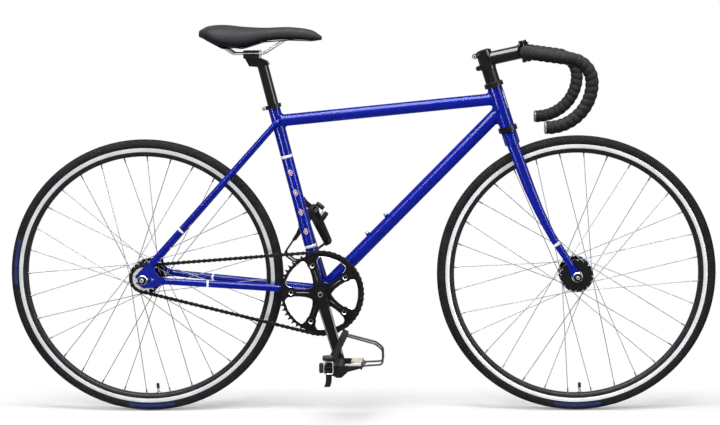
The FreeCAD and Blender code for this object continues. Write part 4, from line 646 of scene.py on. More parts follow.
def saddleRing(bm, s, at):
    wide, high, deep = [smoothValue(s["stations"], s[key], at) for key in ("widths", "tops", "unders")]
    half = wide * s["width"] / 2
    under = s["low"] + deep * s["height"] + s["shell"]
    rise = s["low"] + high * s["height"] - under
    edge = s["edge"]
    ring = []
    for turn in fullTurn(s["around"]):
        sideways, upward = sin(turn), -cos(turn)
        shape = s["topShape"] if upward > 0 else s["underShape"]
        level = 0.5 + 0.5 * copysign(abs(upward) ** shape, upward)
        narrowed = half * (1 - s["narrowing"] * max(level - s["shoulder"], 0))
        spread = narrowed * copysign(abs(sideways) ** s["wideShape"], sideways)
        share = edge + (2 * level - 1) * (1 - edge) if level > 0.5 else 2 * level * edge
        ring.append(put(bm, Vector((s["tail"] + at * s["length"], spread, under + rise * share))))
    return ring


def buildSaddle():
    s = saddleSizes
    bm = bmesh.new()
    first, last = s["middle"]
    middle = [first + (last - first) * n / s["along"] for n in range(s["along"] + 1)]
    steps = s["ends"] + middle + [1 - end for end in reversed(s["ends"])]
    joinRings(bm, [saddleRing(bm, s, at) for at in steps], capped=True)
    cover = finishPiece("saddleCover", bm, ["hide"], "seatpost", ["saddle_cover"], 60)


buildSaddle()
print("saddle covered")

# Layout of the frame, as the CAD has it: angles in degrees, places along the steerer and the tubes
layoutSizes = {"headAngle": 72.6, "rake": 50.4, "headLow": 393.1, "headHigh": 493.1, "seatAngle": 76.24,
               "seatTube": 470.0, "topAngle": 5.2, "topBelow": 29.8, "downAbove": 43.34}
steerUp = polar(radians(180 - layoutSizes["headAngle"]))
steerForward = polar(radians(90 - layoutSizes["headAngle"]))
steerFoot = frontAxle - steerForward * layoutSizes["rake"]
seatUp = polar(radians(180 - layoutSizes["seatAngle"]))
seatBack = polar(radians(270 - layoutSizes["seatAngle"]))
seatTop = bracket + seatUp * layoutSizes["seatTube"]


def onSteerer(height, forward=0.0):
    return steerFoot + steerUp * height + steerForward * forward


def onSeatTube(level):  # on the tube's axis at a height above the ground
    return bracket + seatUp * ((level - bracket.z) / seatUp.z)


topAlong = polar(radians(layoutSizes["topAngle"]))
topFront = onSteerer(layoutSizes["headHigh"] - layoutSizes["topBelow"])
downFront = onSteerer(layoutSizes["headLow"] + layoutSizes["downAbove"])
downAlong = (downFront - bracket).normalized()
downNormal = Vector((-downAlong.z, 0, downAlong.x))

# Fillet welds, filed smooth under the paint: each is a concave skin from one tube's wall to the other's
weldSizes = {"head": 18.0, "top": 14.5, "topRear": 14.4, "down": 16.2, "seat": 14.7, "shell": 20.0,
             "fillets": (9.0, 11.0, 8.0, 9.0, 8.0), "sink": 0.04, "flare": 1.25, "turns": 56, "steps": 8}


def weldInto(bm, wall, tubePlace, tubeAxis, tubeRadius, size):
    wallPlace, axis, wallRadius = wall
    side, rise, along = axesAbout(tubeAxis)
    rows = []
    for turn in fullTurn(weldSizes["turns"]):
        out = side * cos(turn) + rise * sin(turn)
        start = tubePlace + out * tubeRadius - wallPlace
        across = start - axis * start.dot(axis)  # start and slant as seen along the wall's axis
        slant = along - axis * along.dot(axis)
        a, b, c = slant.dot(slant), across.dot(slant), across.dot(across) - wallRadius ** 2
        reach = (-b - sqrt(max(b * b - a * c, 0.0))) / a  # along the tube to where it meets the wall
        meet = wallPlace + start + along * reach
        outward = across + slant * reach
        normal = outward.normalized()
        spread = out - normal * out.dot(normal)
        far = size * min(1.0, spread.length * weldSizes["flare"])
        spread = spread.normalized() if spread.length > 1e-6 else axis
        about = axis.cross(normal)
        turned = spread.dot(about) * far / wallRadius
        ahead = normal * cos(turned) + about * sin(turned)
        foot = meet - outward
        onWall = foot + axis * (spread.dot(axis) * far) + ahead * (wallRadius - weldSizes["sink"])
        onTube = meet - along * size - out * weldSizes["sink"]
        row = []
        for t in [k / weldSizes["steps"] for k in range(weldSizes["steps"] + 1)]:
            row.append(put(bm, onTube * (1 - t) ** 2 + meet * (2 * t * (1 - t)) + onWall * t ** 2))
        rows.append(row)
    joinRings(bm, [list(ring) for ring in zip(*rows)])


def buildWelds():
    s = weldSizes
    bm = bmesh.new()
    head = (onSteerer(layoutSizes["headLow"]), steerUp, s["head"])
    seat = (bracket, seatUp, s["seat"])
    shell = (bracket, lateral, s["shell"])
    joins = [(head, topFront, topAlong, s["top"]), (head, downFront, downAlong, s["down"]),
             (seat, topFront, -topAlong, s["topRear"]), (shell, bracket, -downAlong, s["down"]),
             (shell, bracket, -seatUp, s["seat"])]
    for join, fillet in zip(joins, s["fillets"]):
        weldInto(bm, *join, fillet)
    finishPiece("tubeWelds", bm, ["blueEnamel"], "frame", sharp=60)


buildWelds()
print("tubes welded")

# Painted bands, plain lozenges, the bare badge plate, the bottle screws and the collar's screws
markSizes = {
    "lift": 0.22, "sink": 0.05, "bevel": 0.25, "seatBands": (629.0, 409.0), "seatRadius": 14.7,
    "wideBand": 7.0, "stayBand": 5.4, "lozenges": (591.0, 542.0, 494.0, 447.0),
    "layers": ((14.82, 7.2, 8.6, 0), (14.94, 5.4, 6.6, 1), (15.06, 2.2, 2.8, 0)),
    "seatStay": ((24.5, 63.0, 42.0), (43.0, 21.0), 0.23, 7.77),
    "chainStay": ((53.5, 63.0, -3.0), (-121.0, 30.5, 12.5), 0.4, 8.4),
    "bladeLow": (0.185, 0.64), "bladeHigh": (0.27, 0.46), "bladeShare": 0.54, "bladeOut": 48.38256,
    "bladeHalves": (8.8, 7.55), "badge": 457.0, "badgeHeight": 50.0, "badgeTurn": 40.0, "badgeFace": 18.05,
    "badgeGrid": (14, 20), "badgeLifts": (0.55, 0.9, 0.1), "badgeEdges": (0.8, 0.96), "badgeTip": 0.12,
    "screws": (178.5, 242.5), "screwSeat": 19.2, "screwFoot": [(0, 0), (4.6, 0), (4.6, 0.5), (3.9, 0.8)],
    "screwHead": (3.9, 5.2, 1.9), "collarScrew": (4.75, 23.4, 6.55), "collarHead": (5.2, 4.5, 2.4)}


def bandInto(bm, s, place, axis, radius, width):  # a raised stripe round a tube
    low, high, half = radius - s["sink"], radius + s["lift"], width / 2
    flat = half - s["bevel"]
    latheInto(bm, [(low, -half), (high, -flat), (high, flat), (low, half)], place, axis, 48)


def bladeBandInto(bm, s, side):  # the same round an oval fork blade
    low, high = [onSteerer(up * layoutSizes["headLow"], forward * layoutSizes["rake"])
                 for up, forward in (s["bladeLow"], s["bladeHigh"])]
    along = (high - low).normalized()
    fore = lateral.cross(along)
    middle = low.lerp(high, s["bladeShare"]) + lateral * (side * s["bladeOut"])
    deep, wide = s["bladeHalves"]
    rings = []
    for level, grow in ((-0.5, -s["sink"]), (-0.45, s["lift"]), (0.45, s["lift"]), (0.5, -s["sink"])):
        place = middle + along * (level * s["wideBand"])
        rings.append([put(bm, place + fore * ((deep + grow) * cos(t)) + lateral * ((wide + grow) * sin(t)))
                      for t in fullTurn(40)])
    joinRings(bm, rings)


def lozengeInto(bm, place, axis, facing, radius, half, tall, finish, steps=6):  # laid round a tube
    side = axis.cross(facing).normalized()
    tips = [(half, 0), (0, tall), (-half, 0), (0, -tall)]
    corners = []
    for (x0, z0), (x1, z1) in zip(tips, tips[1:] + tips[:1]):
        for n in range(steps):
            turn, up = (x0 + (x1 - x0) * n / steps) / radius, z0 + (z1 - z0) * n / steps
            corners.append(put(bm, place + axis * up + (facing * cos(turn) + side * sin(turn)) * radius))
    middle = put(bm, place + facing * radius)
    for corner, following in zip(corners, corners[1:] + corners[:1]):
        bm.faces.new((corner, following, middle)).material_index = finish


def stayBandsInto(bm, s, side):
    (x, y, z), (down, out), share, radius = s["seatStay"]
    low = rearAxle + Vector((x, side * y, z))
    high = seatTop - seatUp * down + lateral * (side * out)
    bandInto(bm, s, low.lerp(high, share), high - low, radius, s["stayBand"])
    (x, y, z), (ahead, out, up), share, radius = s["chainStay"]
    low = rearAxle + Vector((x, side * y, z))
    high = Vector((bracket.x + ahead, side * out, bracket.z + up))
    bandInto(bm, s, low.lerp(high, share), high - low, radius, s["stayBand"])


def badgeInto(bm, s):
    place = onSteerer(s["badge"])
    columns, rows = s["badgeGrid"]
    field, rim, outside = s["badgeLifts"]  # a raised rim round a flat field
    rimInner, rimOuter = s["badgeEdges"]
    grid = []
    for r in range(rows + 1):
        z = 2 * r / rows - 1
        taper = max((1 - abs(z) ** 4.8) ** 0.3, s["badgeTip"])  # rounded outline
        row = []
        for c in range(columns + 1):
            x = 2 * c / columns - 1
            turn = radians(s["badgeTurn"]) * x * taper
            edge = max(abs(x), abs(z))
            lift = field if edge <= rimInner else (rim if edge < rimOuter else outside)
            facing = steerForward * cos(turn) + lateral * sin(turn)
            level = place + steerUp * (s["badgeHeight"] * z / 2)
            row.append(put(bm, level + facing * (s["badgeFace"] + lift)))
        grid.append(row)
    for r in range(rows):
        for c in range(columns):
            corners = (grid[r][c], grid[r][c + 1], grid[r + 1][c + 1], grid[r + 1][c])
            bm.faces.new(corners).material_index = int(1 < c < columns - 2 and 0 < r < rows - 1)


def buildMarks():
    s = markSizes
    bm = bmesh.new()
    for level in s["seatBands"]:
        bandInto(bm, s, onSeatTube(level), seatUp, s["seatRadius"], s["wideBand"])
    for side in (-1, 1):
        for level in s["lozenges"]:
            for layer in s["layers"]:
                lozengeInto(bm, onSeatTube(level), seatUp, lateral * side, *layer)
        stayBandsInto(bm, s, side)
    finishPiece("frameBands", bm, ["whiteEnamel", "redEnamel"], "frame", sharp=50)
    bm = bmesh.new()
    for side in (-1, 1):
        bladeBandInto(bm, s, side)
    finishPiece("forkBands", bm, ["whiteEnamel"], "fork", sharp=50)
    bm = bmesh.new()
    badgeInto(bm, s)
    finishPiece("headBadge", bm, ["spokeSteel", "greyResin"], "frame", sharp=30)
    bm = bmesh.new()
    for reach in s["screws"]:
        seat = bracket + downAlong * reach + downNormal * s["screwSeat"]
        latheInto(bm, s["screwFoot"], seat, downNormal, 24)
        capScrewInto(bm, seat + downNormal * s["screwFoot"][-1][1], downNormal, *s["screwHead"])
    finishPiece("bottleScrews", bm, ["spokeSteel", "oxide"], "frame")
    bm = bmesh.new()
    down, back, out = s["collarScrew"]
    for side in (-1, 1):
        screw = seatTop - seatUp * down + seatBack * back + lateral * (side * out)
        capScrewInto(bm, screw, lateral * side, *s["collarHead"])
    finishPiece("collarScrews", bm, ["plated", "oxide"], "frame", sharp=30)


buildMarks()
print("bands and badge on")

# Chainring and crank details: bright bevels round the windows, sleeve bolts and the two crank bolts
driveSizes = {
    "crankTurn": -74.4, "boltCircle": 72.0, "window": 89.5, "tabWidth": 24.0, "bevel": 0.55,
    "reaches": (1.0, 1.09, 1.17, 1.22, 1.28), "widths": (1.0, 1.08, 1.45, 2.0, 2.7),
    "ringFace": -44.5, "armFace": -50.65, "bossFace": 64.15,
    "ridge": (26, 32, 44, 56, 62), "ridgeRadii": [1.4, 2.6, 2.8, 2.4, 1.4], "ridgeSink": 1.6,
    "crankLength": 170.0, "rootHalf": 15.0, "tipHalf": 12.0, "crankFace": 63.55, "flare": 9.0,
    "edge": 3.2, "edgeLift": 0.14, "edgeShares": (0.2, 0.9), "edgeSteps": 12, "arcSteps": 24,
    "ringBolt": [(0, 8.9), (5.0, 8.9), (5.0, 0.2), (6.2, 0.0), (6.3, -0.5), (6.0, -1.5), (5.4, -1.6),
                 (4.5, -0.9), (3.3, -0.6), (3.1, 0.6), (0, 0.6)],
    "crankBolt": [(0, -4), (8.4, -4), (8.4, 0.4), (7.8, 0.8), (6.9, 0.7), (6.5, 0.1), (6.2, 0.1), (6.0, 1.2),
                  (5.2, 1.5), (4.2, 1.4), (3.6, 0.2), (3.5, -1.5), (0, -1.5)]}


def windowEdge(s, turn, nextTurn):  # from one bolt out along its tab, round the ring and in to the next
    def tabSide(at, hand):
        along, across = polar(at, s["boltCircle"]), polar(at + pi / 2, hand * s["tabWidth"] / 2)
        places = [along * reach + across * wide for reach, wide in zip(s["reaches"], s["widths"])]
        return [place for place in places if place.length < s["window"] + 0.5]

    out, back = tabSide(turn, 1), tabSide(nextTurn, -1)[::-1]
    first, last = [atan2(place.z, place.x) for place in (out[-1], back[0])]
    while last < first:
        last += 2 * pi
    steps = s["arcSteps"]
    arc = [polar(first + (last - first) * n / steps, s["window"]) for n in range(1, steps)]
    return [bracket + lateral * s["ringFace"] + place for place in out + arc + back]


# Painted highlight: a bare metal strip stands in for the lamps' reflection on the bevel, partly read as a
# machined edge
def crankEdgeHighlightInto(bm, s, side, hand, finish):  # thin strip along one bevel of the arm
    along = polar(radians(s["crankTurn"])) * -side
    across = along.cross(lateral) * hand
    outward = lateral * side
    lift = (across + outward) * s["edgeLift"]
    rings = []
    first, last = s["edgeShares"]
    for share in [first + (last - first) * n / s["edgeSteps"] for n in range(s["edgeSteps"] + 1)]:
        half = s["rootHalf"] + (s["tipHalf"] - s["rootHalf"]) * share
        face = s["crankFace"] + s["flare"] * share
        inner = bracket + along * (s["crankLength"] * share) + across * (half - s["edge"]) + outward * face
        outer = inner + (across - outward) * s["edge"]
        rings.append([put(bm, p) for p in (inner + lift, outer + lift, outer - lift * 3, inner - lift * 3)])
    joinRings(bm, rings, finish, capped=True)


def buildDrive():
    s = driveSizes
    bm = bmesh.new()
    fifth = 2 * pi / 5
    turns = [radians(s["crankTurn"]) + fifth * (n + 0.5) for n in range(5)]
    for turn in turns:
        sweepInto(bm, windowEdge(s, turn, turn + fifth), s["bevel"], 8)
    finishPiece("ringBevels", bm, ["sprocketSteel"], "crank", sharp=70)
    bm = bmesh.new()
    # Raised ridges on the spider arms, in a lighter tone that paints in the highlight on their lit faces
    for turn in turns:
        face = bracket + lateral * (s["armFace"] + s["ridgeSink"])
        sweepInto(bm, [face + polar(turn, reach) for reach in s["ridge"]], s["ridgeRadii"], 16)
    # Strips on both bevels of each crank: a painted highlight, lighter on one bevel and darker on the other
    # as if lit on one side and shaded on the other
    for side in (-1, 1):
        crankEdgeHighlightInto(bm, s, side, 1, 1)
        crankEdgeHighlightInto(bm, s, side, -1, 2)
    finishPiece("crankBevelHighlightsAndRidges", bm, ["ridgePaintedHighlight", "clipWire", "polishedEdge"], "crank", sharp=50)
    bm = bmesh.new()
    for turn in turns:
        place = bracket + polar(turn, s["boltCircle"]) + lateral * s["armFace"]
        latheInto(bm, s["ringBolt"], place, lateral, 28, [1] * 6 + [0] + [1] * 3)
    finishPiece("ringBolts", bm, ["polishedEdge", "oxide"], "crank", ["chainring_bolts"], 28)
    bm = bmesh.new()
    for side in (-1, 1):
        place = bracket + lateral * (side * s["bossFace"])
        latheInto(bm, s["crankBolt"], place, lateral * side, 32, [1] * 6 + [0] * 4 + [1] * 2)
    finishPiece("crankBolts", bm, ["polishedEdge", "oxide"], "crank", sharp=28)


buildDrive()
print("drive detailed")

# Stem bolts with socket heads, two in the steerer lugs and four in the face plate
stemSizes = {"middle": 561.7, "lugReach": 24.0, "lugSpacing": 30.0, "lugHalf": 12.1, "along": 11.7,
             "length": 94.5, "faceRise": 21.5, "faceSide": 13.0, "faceDepth": 10.1, "head": (4.2, 4.0, 2.1),
             "shank": 2.5, "lugShank": (-0.2, -23.9), "faceShank": (-9.8, 10.0)}


def stemBoltInto(bm, s, place, axis, depth, ends, finish):
    capScrewInto(bm, place + axis * depth, axis, *s["head"], finish)
    sweepInto(bm, [place + axis * end for end in ends], s["shank"], 12, 1)


def buildStemBolts():
    s = stemSizes
    bm = bmesh.new()
    lugs = onSteerer(s["middle"], -s["lugReach"]) - lateral * s["lugHalf"]
    for up, tone in ((1, 0), (-1, 1)):
        place = lugs + steerUp * (up * s["lugSpacing"] / 2)
        stemBoltInto(bm, s, place, -lateral, 0.0, s["lugShank"], tone)
    along, rise = polar(radians(s["along"])), polar(radians(s["along"] + 90))
    face = onSteerer(s["middle"]) + along * s["length"]
    for up in (-1, 1):
        for left in (-1, 1):
            place = face + rise * (up * s["faceRise"]) + lateral * (left * s["faceSide"])
            stemBoltInto(bm, s, place, along, s["faceDepth"], s["faceShank"], 0)
    finishPiece("stemScrews", bm, ["plated", "oxide"], "fork", ["stem_bolts"], 35)


buildStemBolts()
print("stem bolted")

# Pedals: cage plate, wire toe clip, woven strap with its rolled end, and the wire buckle
pedalSizes = {
    "strapWidth": 14.0, "strapThick": 2.4, "outer": 53.2, "inner": 50.7, "top": 31.2, "low": -5.2,
    "shoulder": 32.0, "high": 83.6, "footX": -27.0, "footZ": -4.0, "lean": 27.0,
    "strapBends": (2.5, 14, 12, 12, 14, 2.5), "bendStep": 2.0, "step": 3.0,
    "weave": [(1, -0.45), (0.93, -1), (0.4, -1.06)], "tailThick": 2.2,
    "tail": [(0.5, -2.4, 6), (0.6, -2.4, -10), (0.7, -2.4, -24), (0.4, -2.2, -32), (-1.0, -1.8, -39),
             (-4.0, -1.2, -46)],
    "rolls": [((-1, 0.5, 24), (1, 0, 0.05), 6.7, 12.5), ((-16.7, 0, 0), (0, 0, 1), 5.2, 12.0)],
    "rollEnd": [(0, 1), (0.6, 0.99), (0.88, 0.9), (1, 0.65)], "rollMiddle": (1.03, 0),
    "buckleLength": 31.0, "buckleWidth": 24.0, "buckle": (-21.0, 2.4, 10.0), "buckleWire": 1.15,
    "barWire": 1.1, "buckleBend": 3.0, "buckleSteps": (1.2, 2.0), "wireInset": 1.1,
    "tongue": [1.0, 1.2, 1.1, 0.8], "tonguePath": [(10.9, 0, 0), (7.9, 1, 0), (0, 1.6, 1.5), (-4, 1, 0)],
    "wire": 2.35, "clipBends": (9, 14, 20),
    "clip": [(60.0, 22.0, 7.6), (106.0, 20.2, 10.0), (106.0, 15.4, 44.0), (89.0, 13.2, 58.0),
             (14.0, 11.0, 79.0)],
    "clipScrew": (62.2, 14.0, 7.6), "clipHead": (3.4, 2.2, 1.6), "footHalf": 22.0,
    "foot": [(58.2, 3.8), (62.0, 3.8), (62.2, 4.4), (62.2, 11.0), (62.0, 11.5), (58.2, 11.5)],
    "plates": [(17.0, 55.0, -41, -27), (30.0, 56.5, -6, 41)], "plateLevels": (11.8, 12.9, 13.3),
    "plateBevel": 1.5}
pedalPlaces = {"right": (0, -1), "left": (128, 1)}  # turn about the spindle in degrees, and side


def strapPoint(s, across, height):
    return Vector((s["footX"] + (height - s["footZ"]) * tan(radians(s["lean"])), across, height))


def ribbonInto(bm, s, places, widthways, thick, closed=True):  # flat woven band with soft edges
    edge = s["weave"]
    under = [(-a, b) for a, b in edge] + edge[::-1]
    section = under + [(-a, -b) for a, b in under]
    rings = []
    for place, tangent in zip(places, tangentsOf(places, closed)):
        normal = tangent.cross(widthways).normalized()
        rings.append([put(bm, place + widthways * (s["strapWidth"] / 2 * a) + normal * (thick / 2 * b))
                      for a, b in section])
    joinRings(bm, rings, 0, closed, not closed)


def strapInto(bm, s, side):
    lean = radians(s["lean"])
    outer, inner = side * s["outer"], -side * s["inner"]
    low, shoulder, high, top = s["low"], s["shoulder"], s["high"], side * s["top"]
    corners = [(0, low), (outer, low), (outer, shoulder), (top, high), (-top, high), (inner, shoulder),
               (inner, low), (0, low)]
    path = bendPath([strapPoint(s, *c) for c in corners], s["strapBends"], s["bendStep"])
    loop = evenPath(path, s["step"])[:-1]
    ribbonInto(bm, s, loop, Vector((cos(lean), 0, -sin(lean))), s["strapThick"])
    centre = buckleCentre(s, side)
    drop = [centre + Vector((x, side * y, z)) for x, y, z in s["tail"]]
    ribbonInto(bm, s, evenPath(drop, s["step"]), Vector((1, 0, 0)), s["tailThick"], False)
    profile = [(r, -h) for r, h in s["rollEnd"]] + [s["rollMiddle"]] + s["rollEnd"][::-1]
    for (x, y, z), axis, radius, half in s["rolls"]:
        roll = [(r * radius, h * half) for r, h in profile]
        latheInto(bm, roll, centre + Vector((x, side * y, z)), axis, 20, 1)


def buckleCentre(s, side):
    x, out, z = s["buckle"]
    return Vector((x, side * (s["outer"] + out), z))


def buckleInto(bm, s, side):
    centre = buckleCentre(s, side)
    bendStep, step = s["buckleSteps"]
    x, z = s["buckleWidth"] / 2 - s["wireInset"], s["buckleLength"] / 2 - s["wireInset"]
    corners = [(0, -z), (x, -z), (x, z), (-x, z), (-x, -z), (0, -z)]
    outline = bendPath([centre + Vector((a, 0, b)) for a, b in corners], [s["buckleBend"]] * 4, bendStep)
    sweepInto(bm, evenPath(outline, step)[:-1], s["buckleWire"], 8, 0, True)
    sweepInto(bm, [centre + Vector((end, 0, 0)) for end in (-x, x)], s["barWire"], 8, 1)
    tongue = [centre + Vector((a, side * out, b)) for a, out, b in s["tonguePath"]]
    sweepInto(bm, tongue, s["tongue"], 8, 1)


def slabInto(bm, outline, near, far, finish=0):  # an outline seen from the side, drawn out sideways
    rings = [[put(bm, Vector((x, y, z))) for x, z in outline] for y in (near, far)]
    joinRings(bm, rings, finish, capped=True)


def clipInto(bm, s, side):
    for hand in (-1, 1):
        route = [Vector((x, hand * y, z)) for x, y, z in s["clip"]]
        sweepInto(bm, evenPath(bendPath(route, s["clipBends"], s["bendStep"]), s["step"]), s["wire"])
        x, y, z = s["clipScrew"]
        capScrewInto(bm, Vector((x, hand * y, z)), (1, 0, 0), *s["clipHead"], 1)
    x, y, z = s["clip"][-1]
    sweepInto(bm, [Vector((x, -y, z)), Vector((x, y, z))], s["wire"])
    slabInto(bm, s["foot"], -s["footHalf"], s["footHalf"])


def cagePlateInto(bm, s, side):  # bare steel on top: a rail along the outer edge, a plate over the inner half
    low, edge, high = s["plateLevels"]
    bevel = s["plateBevel"]
    for tone, (back, front, near, far) in enumerate(s["plates"]):
        outline = [(back, low), (front, low), (front, edge), (front - bevel, high), (back + bevel, high),
                   (back, edge)]
        slabInto(bm, outline, -side * near, -side * far, tone)


def buildPedals():
    s = pedalSizes
    parts = [("ToeStrap", strapInto, ["webbing", "rollEnd"], "strap_webbing", "_toe_strap"),
             ("Buckle", buckleInto, ["plated", "oxide"], "steel", "_strap_buckle"),
             ("ToeClip", clipInto, ["wireLacquer", "oxide"], "dark_steel", "_toe_clip"),
             ("CagePlate", cagePlateInto, ["plated", "strawZinc"], "steel", None)]
    for which, (hang, side) in pedalPlaces.items():
        place = pivots[which + "_pedal_spin"] * mm
        turned = Matrix.Translation(place) @ Matrix.Rotation(radians(hang), 4, "Y")
        for label, fill, tones, slot, hidden in parts:
            bm = bmesh.new()
            fill(bm, s, side)
            bmesh.ops.transform(bm, matrix=turned, verts=bm.verts)
            replaced = [which + hidden] if hidden else []
            finishPiece(which + label, bm, tones, which + "_pedal", replaced, 40)


buildPedals()
print("pedals strapped")

# Axles: threaded ends, dark hexagon nuts and bright washers, and the small screw beside the rear one.
# Each axle has its radius, the hub's end, the inner and outer face of its fork end, and its body
axleSizes = {"rear": (5.0, 49.4, 60.0, 66.0, "frame"), "front": (4.5, 41.4, 50.0, 55.5, "fork"),
             "washer": 11.7, "washerDeep": 2.2, "nut": 10.6, "nutDeep": 8.0, "tip": 5.0, "locknut": 9.5,
             "threadDeep": 0.45, "threadPitch": 0.9, "tensioner": (24.0, 0.5),
             "tensionerHead": (3.0, 2.2, 1.4)}


def axleEndInto(bm, s, place, radius, hub, inner, outer, axis):
    nutLow = outer + s["washerDeep"]
    nutHigh = nutLow + s["nutDeep"]
    tip = nutHigh + s["tip"]
    washer, locknut, nut = s["washer"], s["locknut"], s["nut"]
    bright = [(0, 0), (radius, 0), (radius, hub), (locknut, hub), (locknut, inner), (radius, inner),
              (radius, outer), (washer - 0.4, outer), (washer, outer + 0.4), (washer, nutLow - 0.7),
              (washer - 0.8, nutLow), (radius, nutLow), (radius, nutHigh)]
    thread = []
    level = nutHigh
    while level < tip - 1.2:
        thread += [(radius - s["threadDeep"], level + 0.3), (radius, level + 0.7)]
        level += s["threadPitch"]
    thread += [(radius - 0.9, tip), (2.4, tip), (1.6, tip - 1.4), (0, tip - 1.4)]
    latheInto(bm, bright + thread, place, axis, 36, [0] * (len(bright) - 1) + [2] * len(thread))
    hexagon = [(0, nutLow), (nut - 0.2, nutLow), (nut, nutLow + 0.3), (nut, nutHigh - 1.4),
               (nut - 1.5, nutHigh), (radius + 0.9, nutHigh), (radius + 0.2, nutHigh - 0.6),
               (0, nutHigh - 0.6)]
    latheInto(bm, hexagon, place, axis, 6, 1)


def buildAxles():
    s = axleSizes
    for which, place in (("rear", rearAxle), ("front", frontAxle)):
        radius, hub, inner, outer, body = s[which]
        bm = bmesh.new()
        for side in (-1, 1):
            axleEndInto(bm, s, place, radius, hub, inner, outer, lateral * side)
            if which == "rear":
                ahead, up = s["tensioner"]
                screw = place + Vector((ahead, side * outer, up))
                capScrewInto(bm, screw, lateral * side, *s["tensionerHead"])
        tones = ["polishedEdge", "oxide", "spokeSteel"]
        finishPiece(which + "AxleSet", bm, tones, body, [which + "_axle"], 30)


buildAxles()
print("axles set")

# Plain coloured patches moulded into the tyre walls
labelSizes = {"front": (-89.0,), "rear": (-89.2, 173.1), "half": 10.0, "walls": (-15, 0, 15), "lift": 0.25,
              "thick": 0.8, "steps": 24}


def labelInto(bm, s, axle, middle, side):
    centre = wheelSizes["tyreRadius"] - wheelSizes["tyreHalf"]
    outer = wheelSizes["tyreHalf"] + s["lift"]
    walls = [(outer, w) for w in s["walls"]] + [(outer - s["thick"], w) for w in reversed(s["walls"])]
    rings = []
    for n in range(s["steps"] + 1):
        turn = radians(middle + s["half"] * (2 * n / s["steps"] - 1))
        rings.append([put(bm, axle + polar(turn, centre + reach * sin(radians(wall)))
                          + lateral * (side * reach * cos(radians(wall)))) for reach, wall in walls])
    joinRings(bm, rings, capped=True)


def buildLabels():
    s = labelSizes
    for which in ("front", "rear"):
        bm = bmesh.new()
        for middle in s[which]:
            for side in (-1, 1):
                labelInto(bm, s, pivots[which + "_wheel_spin"], middle, side)
        finishPiece(which + "TyreLabels", bm, ["labelBlue"], which + "_wheel", sharp=60)


buildLabels()
print("tyres marked")

# Camera fitted to the photograph's own view
viewSizes = {"place": (0.1912, -3.8946, 0.9777), "yaw": -2.785, "pitch": 7.123, "roll": -0.756, "lens": 80.71,
             "sensor": 36.0}


def placeCamera():
    s = viewSizes
    yaw, pitch, roll = [Matrix.Rotation(radians(s[key]), 3, axis)
                        for key, axis in (("yaw", "Z"), ("pitch", "X"), ("roll", "Z"))]
    look = roll @ pitch @ Matrix(((1, 0, 0), (0, 0, -1), (0, 1, 0))) @ yaw
    lens = bpy.data.cameras.new("photoView")
    lens.lens = s["lens"]
    lens.sensor_width = s["sensor"]
    camera = bpy.data.objects.new("photoView", lens)
    bpy.context.scene.collection.objects.link(camera)
    turned = Matrix((look[0], -look[1], -look[2])).transposed().to_4x4()
    camera.matrix_world = Matrix.Translation(s["place"]) @ turned
    bpy.context.scene.camera = camera


placeCamera()

# Studio: pale floor that fades to white, white surround, two soft boxes, and four panels seen in gloss alone.
# A lamp has its place, its size, its watts or a panel's glow, and the axis that it holds upright
studioSizes = {
    "floor": 14.0, "floorDrop": 0.0005, "surround": 0.34, "floorLift": 0.19, "shadowReach": (0.03, 0.26),
    "halfLength": 0.8, "aim": (0, 0, 0.5),
    "boxes": {"keyBox": ((-1.4, -3.6, 3.2), (2.6, 1.8), 88, "Y"),
              "topBox": ((0.0, -0.9, 2.9), (3.4, 0.6), 50, "Y")},
    "panels": {"topPanel": ((0.0, -0.9, 2.7), (3.6, 2.0), 46, "Y"),
               "leftPanel": ((-1.3, -1.6, 0.27), (0.5, 0.46), 70, "Y"),
               "highPanel": ((-2.2, -2.9, 2.9), (1.4, 1.2), 32, "X"),
               "rightPanel": ((2.9, -1.7, 1.0), (2.4, 1.3), 26, "X")}}


def backdropSeen(tree):  # 1 where the camera, or a mirror or glass in between, looks at the surround
    path = addNode(tree, "LightPath").outputs
    seen = path["Is Camera Ray"]
    for ray in ("Is Glossy Ray", "Is Transmission Ray"):
        seen = addNode(tree, "Math", {0: seen, 1: path[ray]}, operation="MAXIMUM").outputs["Value"]
    return seen


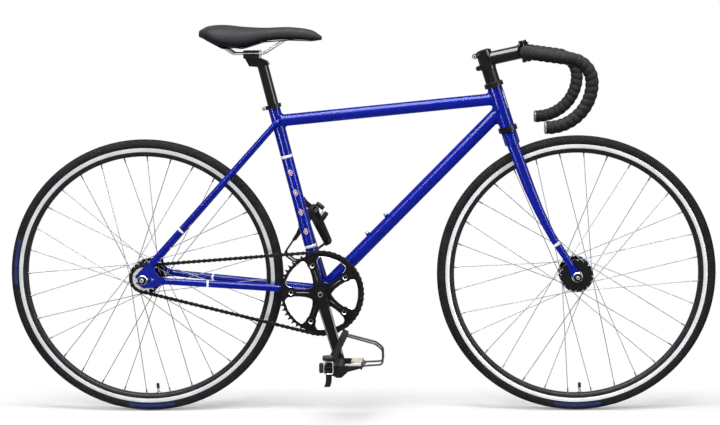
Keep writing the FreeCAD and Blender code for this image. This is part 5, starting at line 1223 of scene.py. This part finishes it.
def floorFinish(s):  # shaded under the bicycle, pure white away from it
    base = startFinish("paleStudioFloor", {"Base Color": hexColour("f2f2f2"), "Roughness": 0.9,
                                           "Specular IOR Level": 0.0})
    tree = base.tree
    seen = backdropSeen(tree)
    spot = addNode(tree, "SeparateXYZ", {0: base.where}).outputs
    alongBike = addNode(tree, "Math", {0: spot["X"]}, operation="ABSOLUTE")
    past = addNode(tree, "Math", {0: alongBike.outputs["Value"], 1: s["halfLength"]}, operation="SUBTRACT")
    beyond = addNode(tree, "Math", {0: past.outputs["Value"], 1: 0.0}, operation="MAXIMUM")
    flat = addNode(tree, "CombineXYZ", {"X": beyond.outputs["Value"], "Y": spot["Y"]})
    reach = addNode(tree, "VectorMath", {0: flat.outputs["Vector"]}, operation="LENGTH")
    low, high = s["shadowReach"]
    fade = addNode(tree, "MapRange", {"From Min": low, "From Max": high, "Value": reach.outputs["Value"]},
                   interpolation_type="SMOOTHSTEP")
    white = addNode(tree, "Math", {0: fade.outputs["Result"], 1: seen}, operation="MULTIPLY")
    lift = addNode(tree, "Math", {0: seen, 1: s["floorLift"]}, operation="MULTIPLY")
    glow = addNode(tree, "Emission", {"Strength": lift.outputs["Value"]})
    near = addNode(tree, "AddShader", {0: base.shader.outputs["BSDF"], 1: glow.outputs["Emission"]})
    far = addNode(tree, "Emission", {"Strength": 1.0})
    shares = {0: white.outputs["Value"], 1: near.outputs["Shader"], 2: far.outputs["Emission"]}
    both = addNode(tree, "MixShader", shares)
    tree.links.new(both.outputs["Shader"], tree.nodes["Material Output"].inputs["Surface"])
    return base.finish


def buildSurround(s, scene):
    world = bpy.data.worlds.new("whiteSurround")
    scene.world = world
    world.use_nodes = True
    tree = world.node_tree
    level = addNode(tree, "MapRange", {"To Min": s["surround"], "To Max": 1.0, "Value": backdropSeen(tree)})
    back = tree.nodes["Background"]
    back.inputs["Color"].default_value = (1, 1, 1, 1)
    tree.links.new(level.outputs["Result"], back.inputs["Strength"])
    bm = bmesh.new()
    bmesh.ops.create_grid(bm, x_segments=8, y_segments=8, size=s["floor"])
    mesh = bpy.data.meshes.new("studioFloor")
    bm.to_mesh(mesh)
    bm.free()
    mesh.materials.append(floorFinish(s))
    floor = bpy.data.objects.new("studioFloor", mesh)
    floor.location = (0, 0, -s["floorDrop"])
    scene.collection.objects.link(floor)


def addLamp(s, scene, name, place, size, power, upright):
    lamp = bpy.data.lights.new(name, "AREA")
    lamp.shape = "RECTANGLE"
    lamp.size, lamp.size_y = size
    lamp.energy = power
    box = bpy.data.objects.new(name, lamp)
    box.location = place
    box.rotation_mode = "QUATERNION"
    box.rotation_quaternion = (Vector(s["aim"]) - Vector(place)).to_track_quat("-Z", upright)
    scene.collection.objects.link(box)
    return box


def buildStudio():
    s = studioSizes
    scene = bpy.context.scene
    scene.view_settings.view_transform = "Standard"
    buildSurround(s, scene)
    for name, (place, size, watts, upright) in s["boxes"].items():
        addLamp(s, scene, name, place, size, watts, upright)
    for name, (place, size, glow, upright) in s["panels"].items():
        panel = addLamp(s, scene, name, place, size, glow * pi * size[0] * size[1], upright)
        panel.visible_diffuse = False
        if name == "leftPanel":  # lights the enamelled nodes alone, as it would burn out the rear rim
            enamelled = bpy.data.collections.new("enamelledTubes")
            for member in cadFinishes["blueEnamel"]:
                enamelled.objects.link(nodes[member])
            panel.light_linking.receiver_collection = enamelled


buildStudio()
print("studio lit")
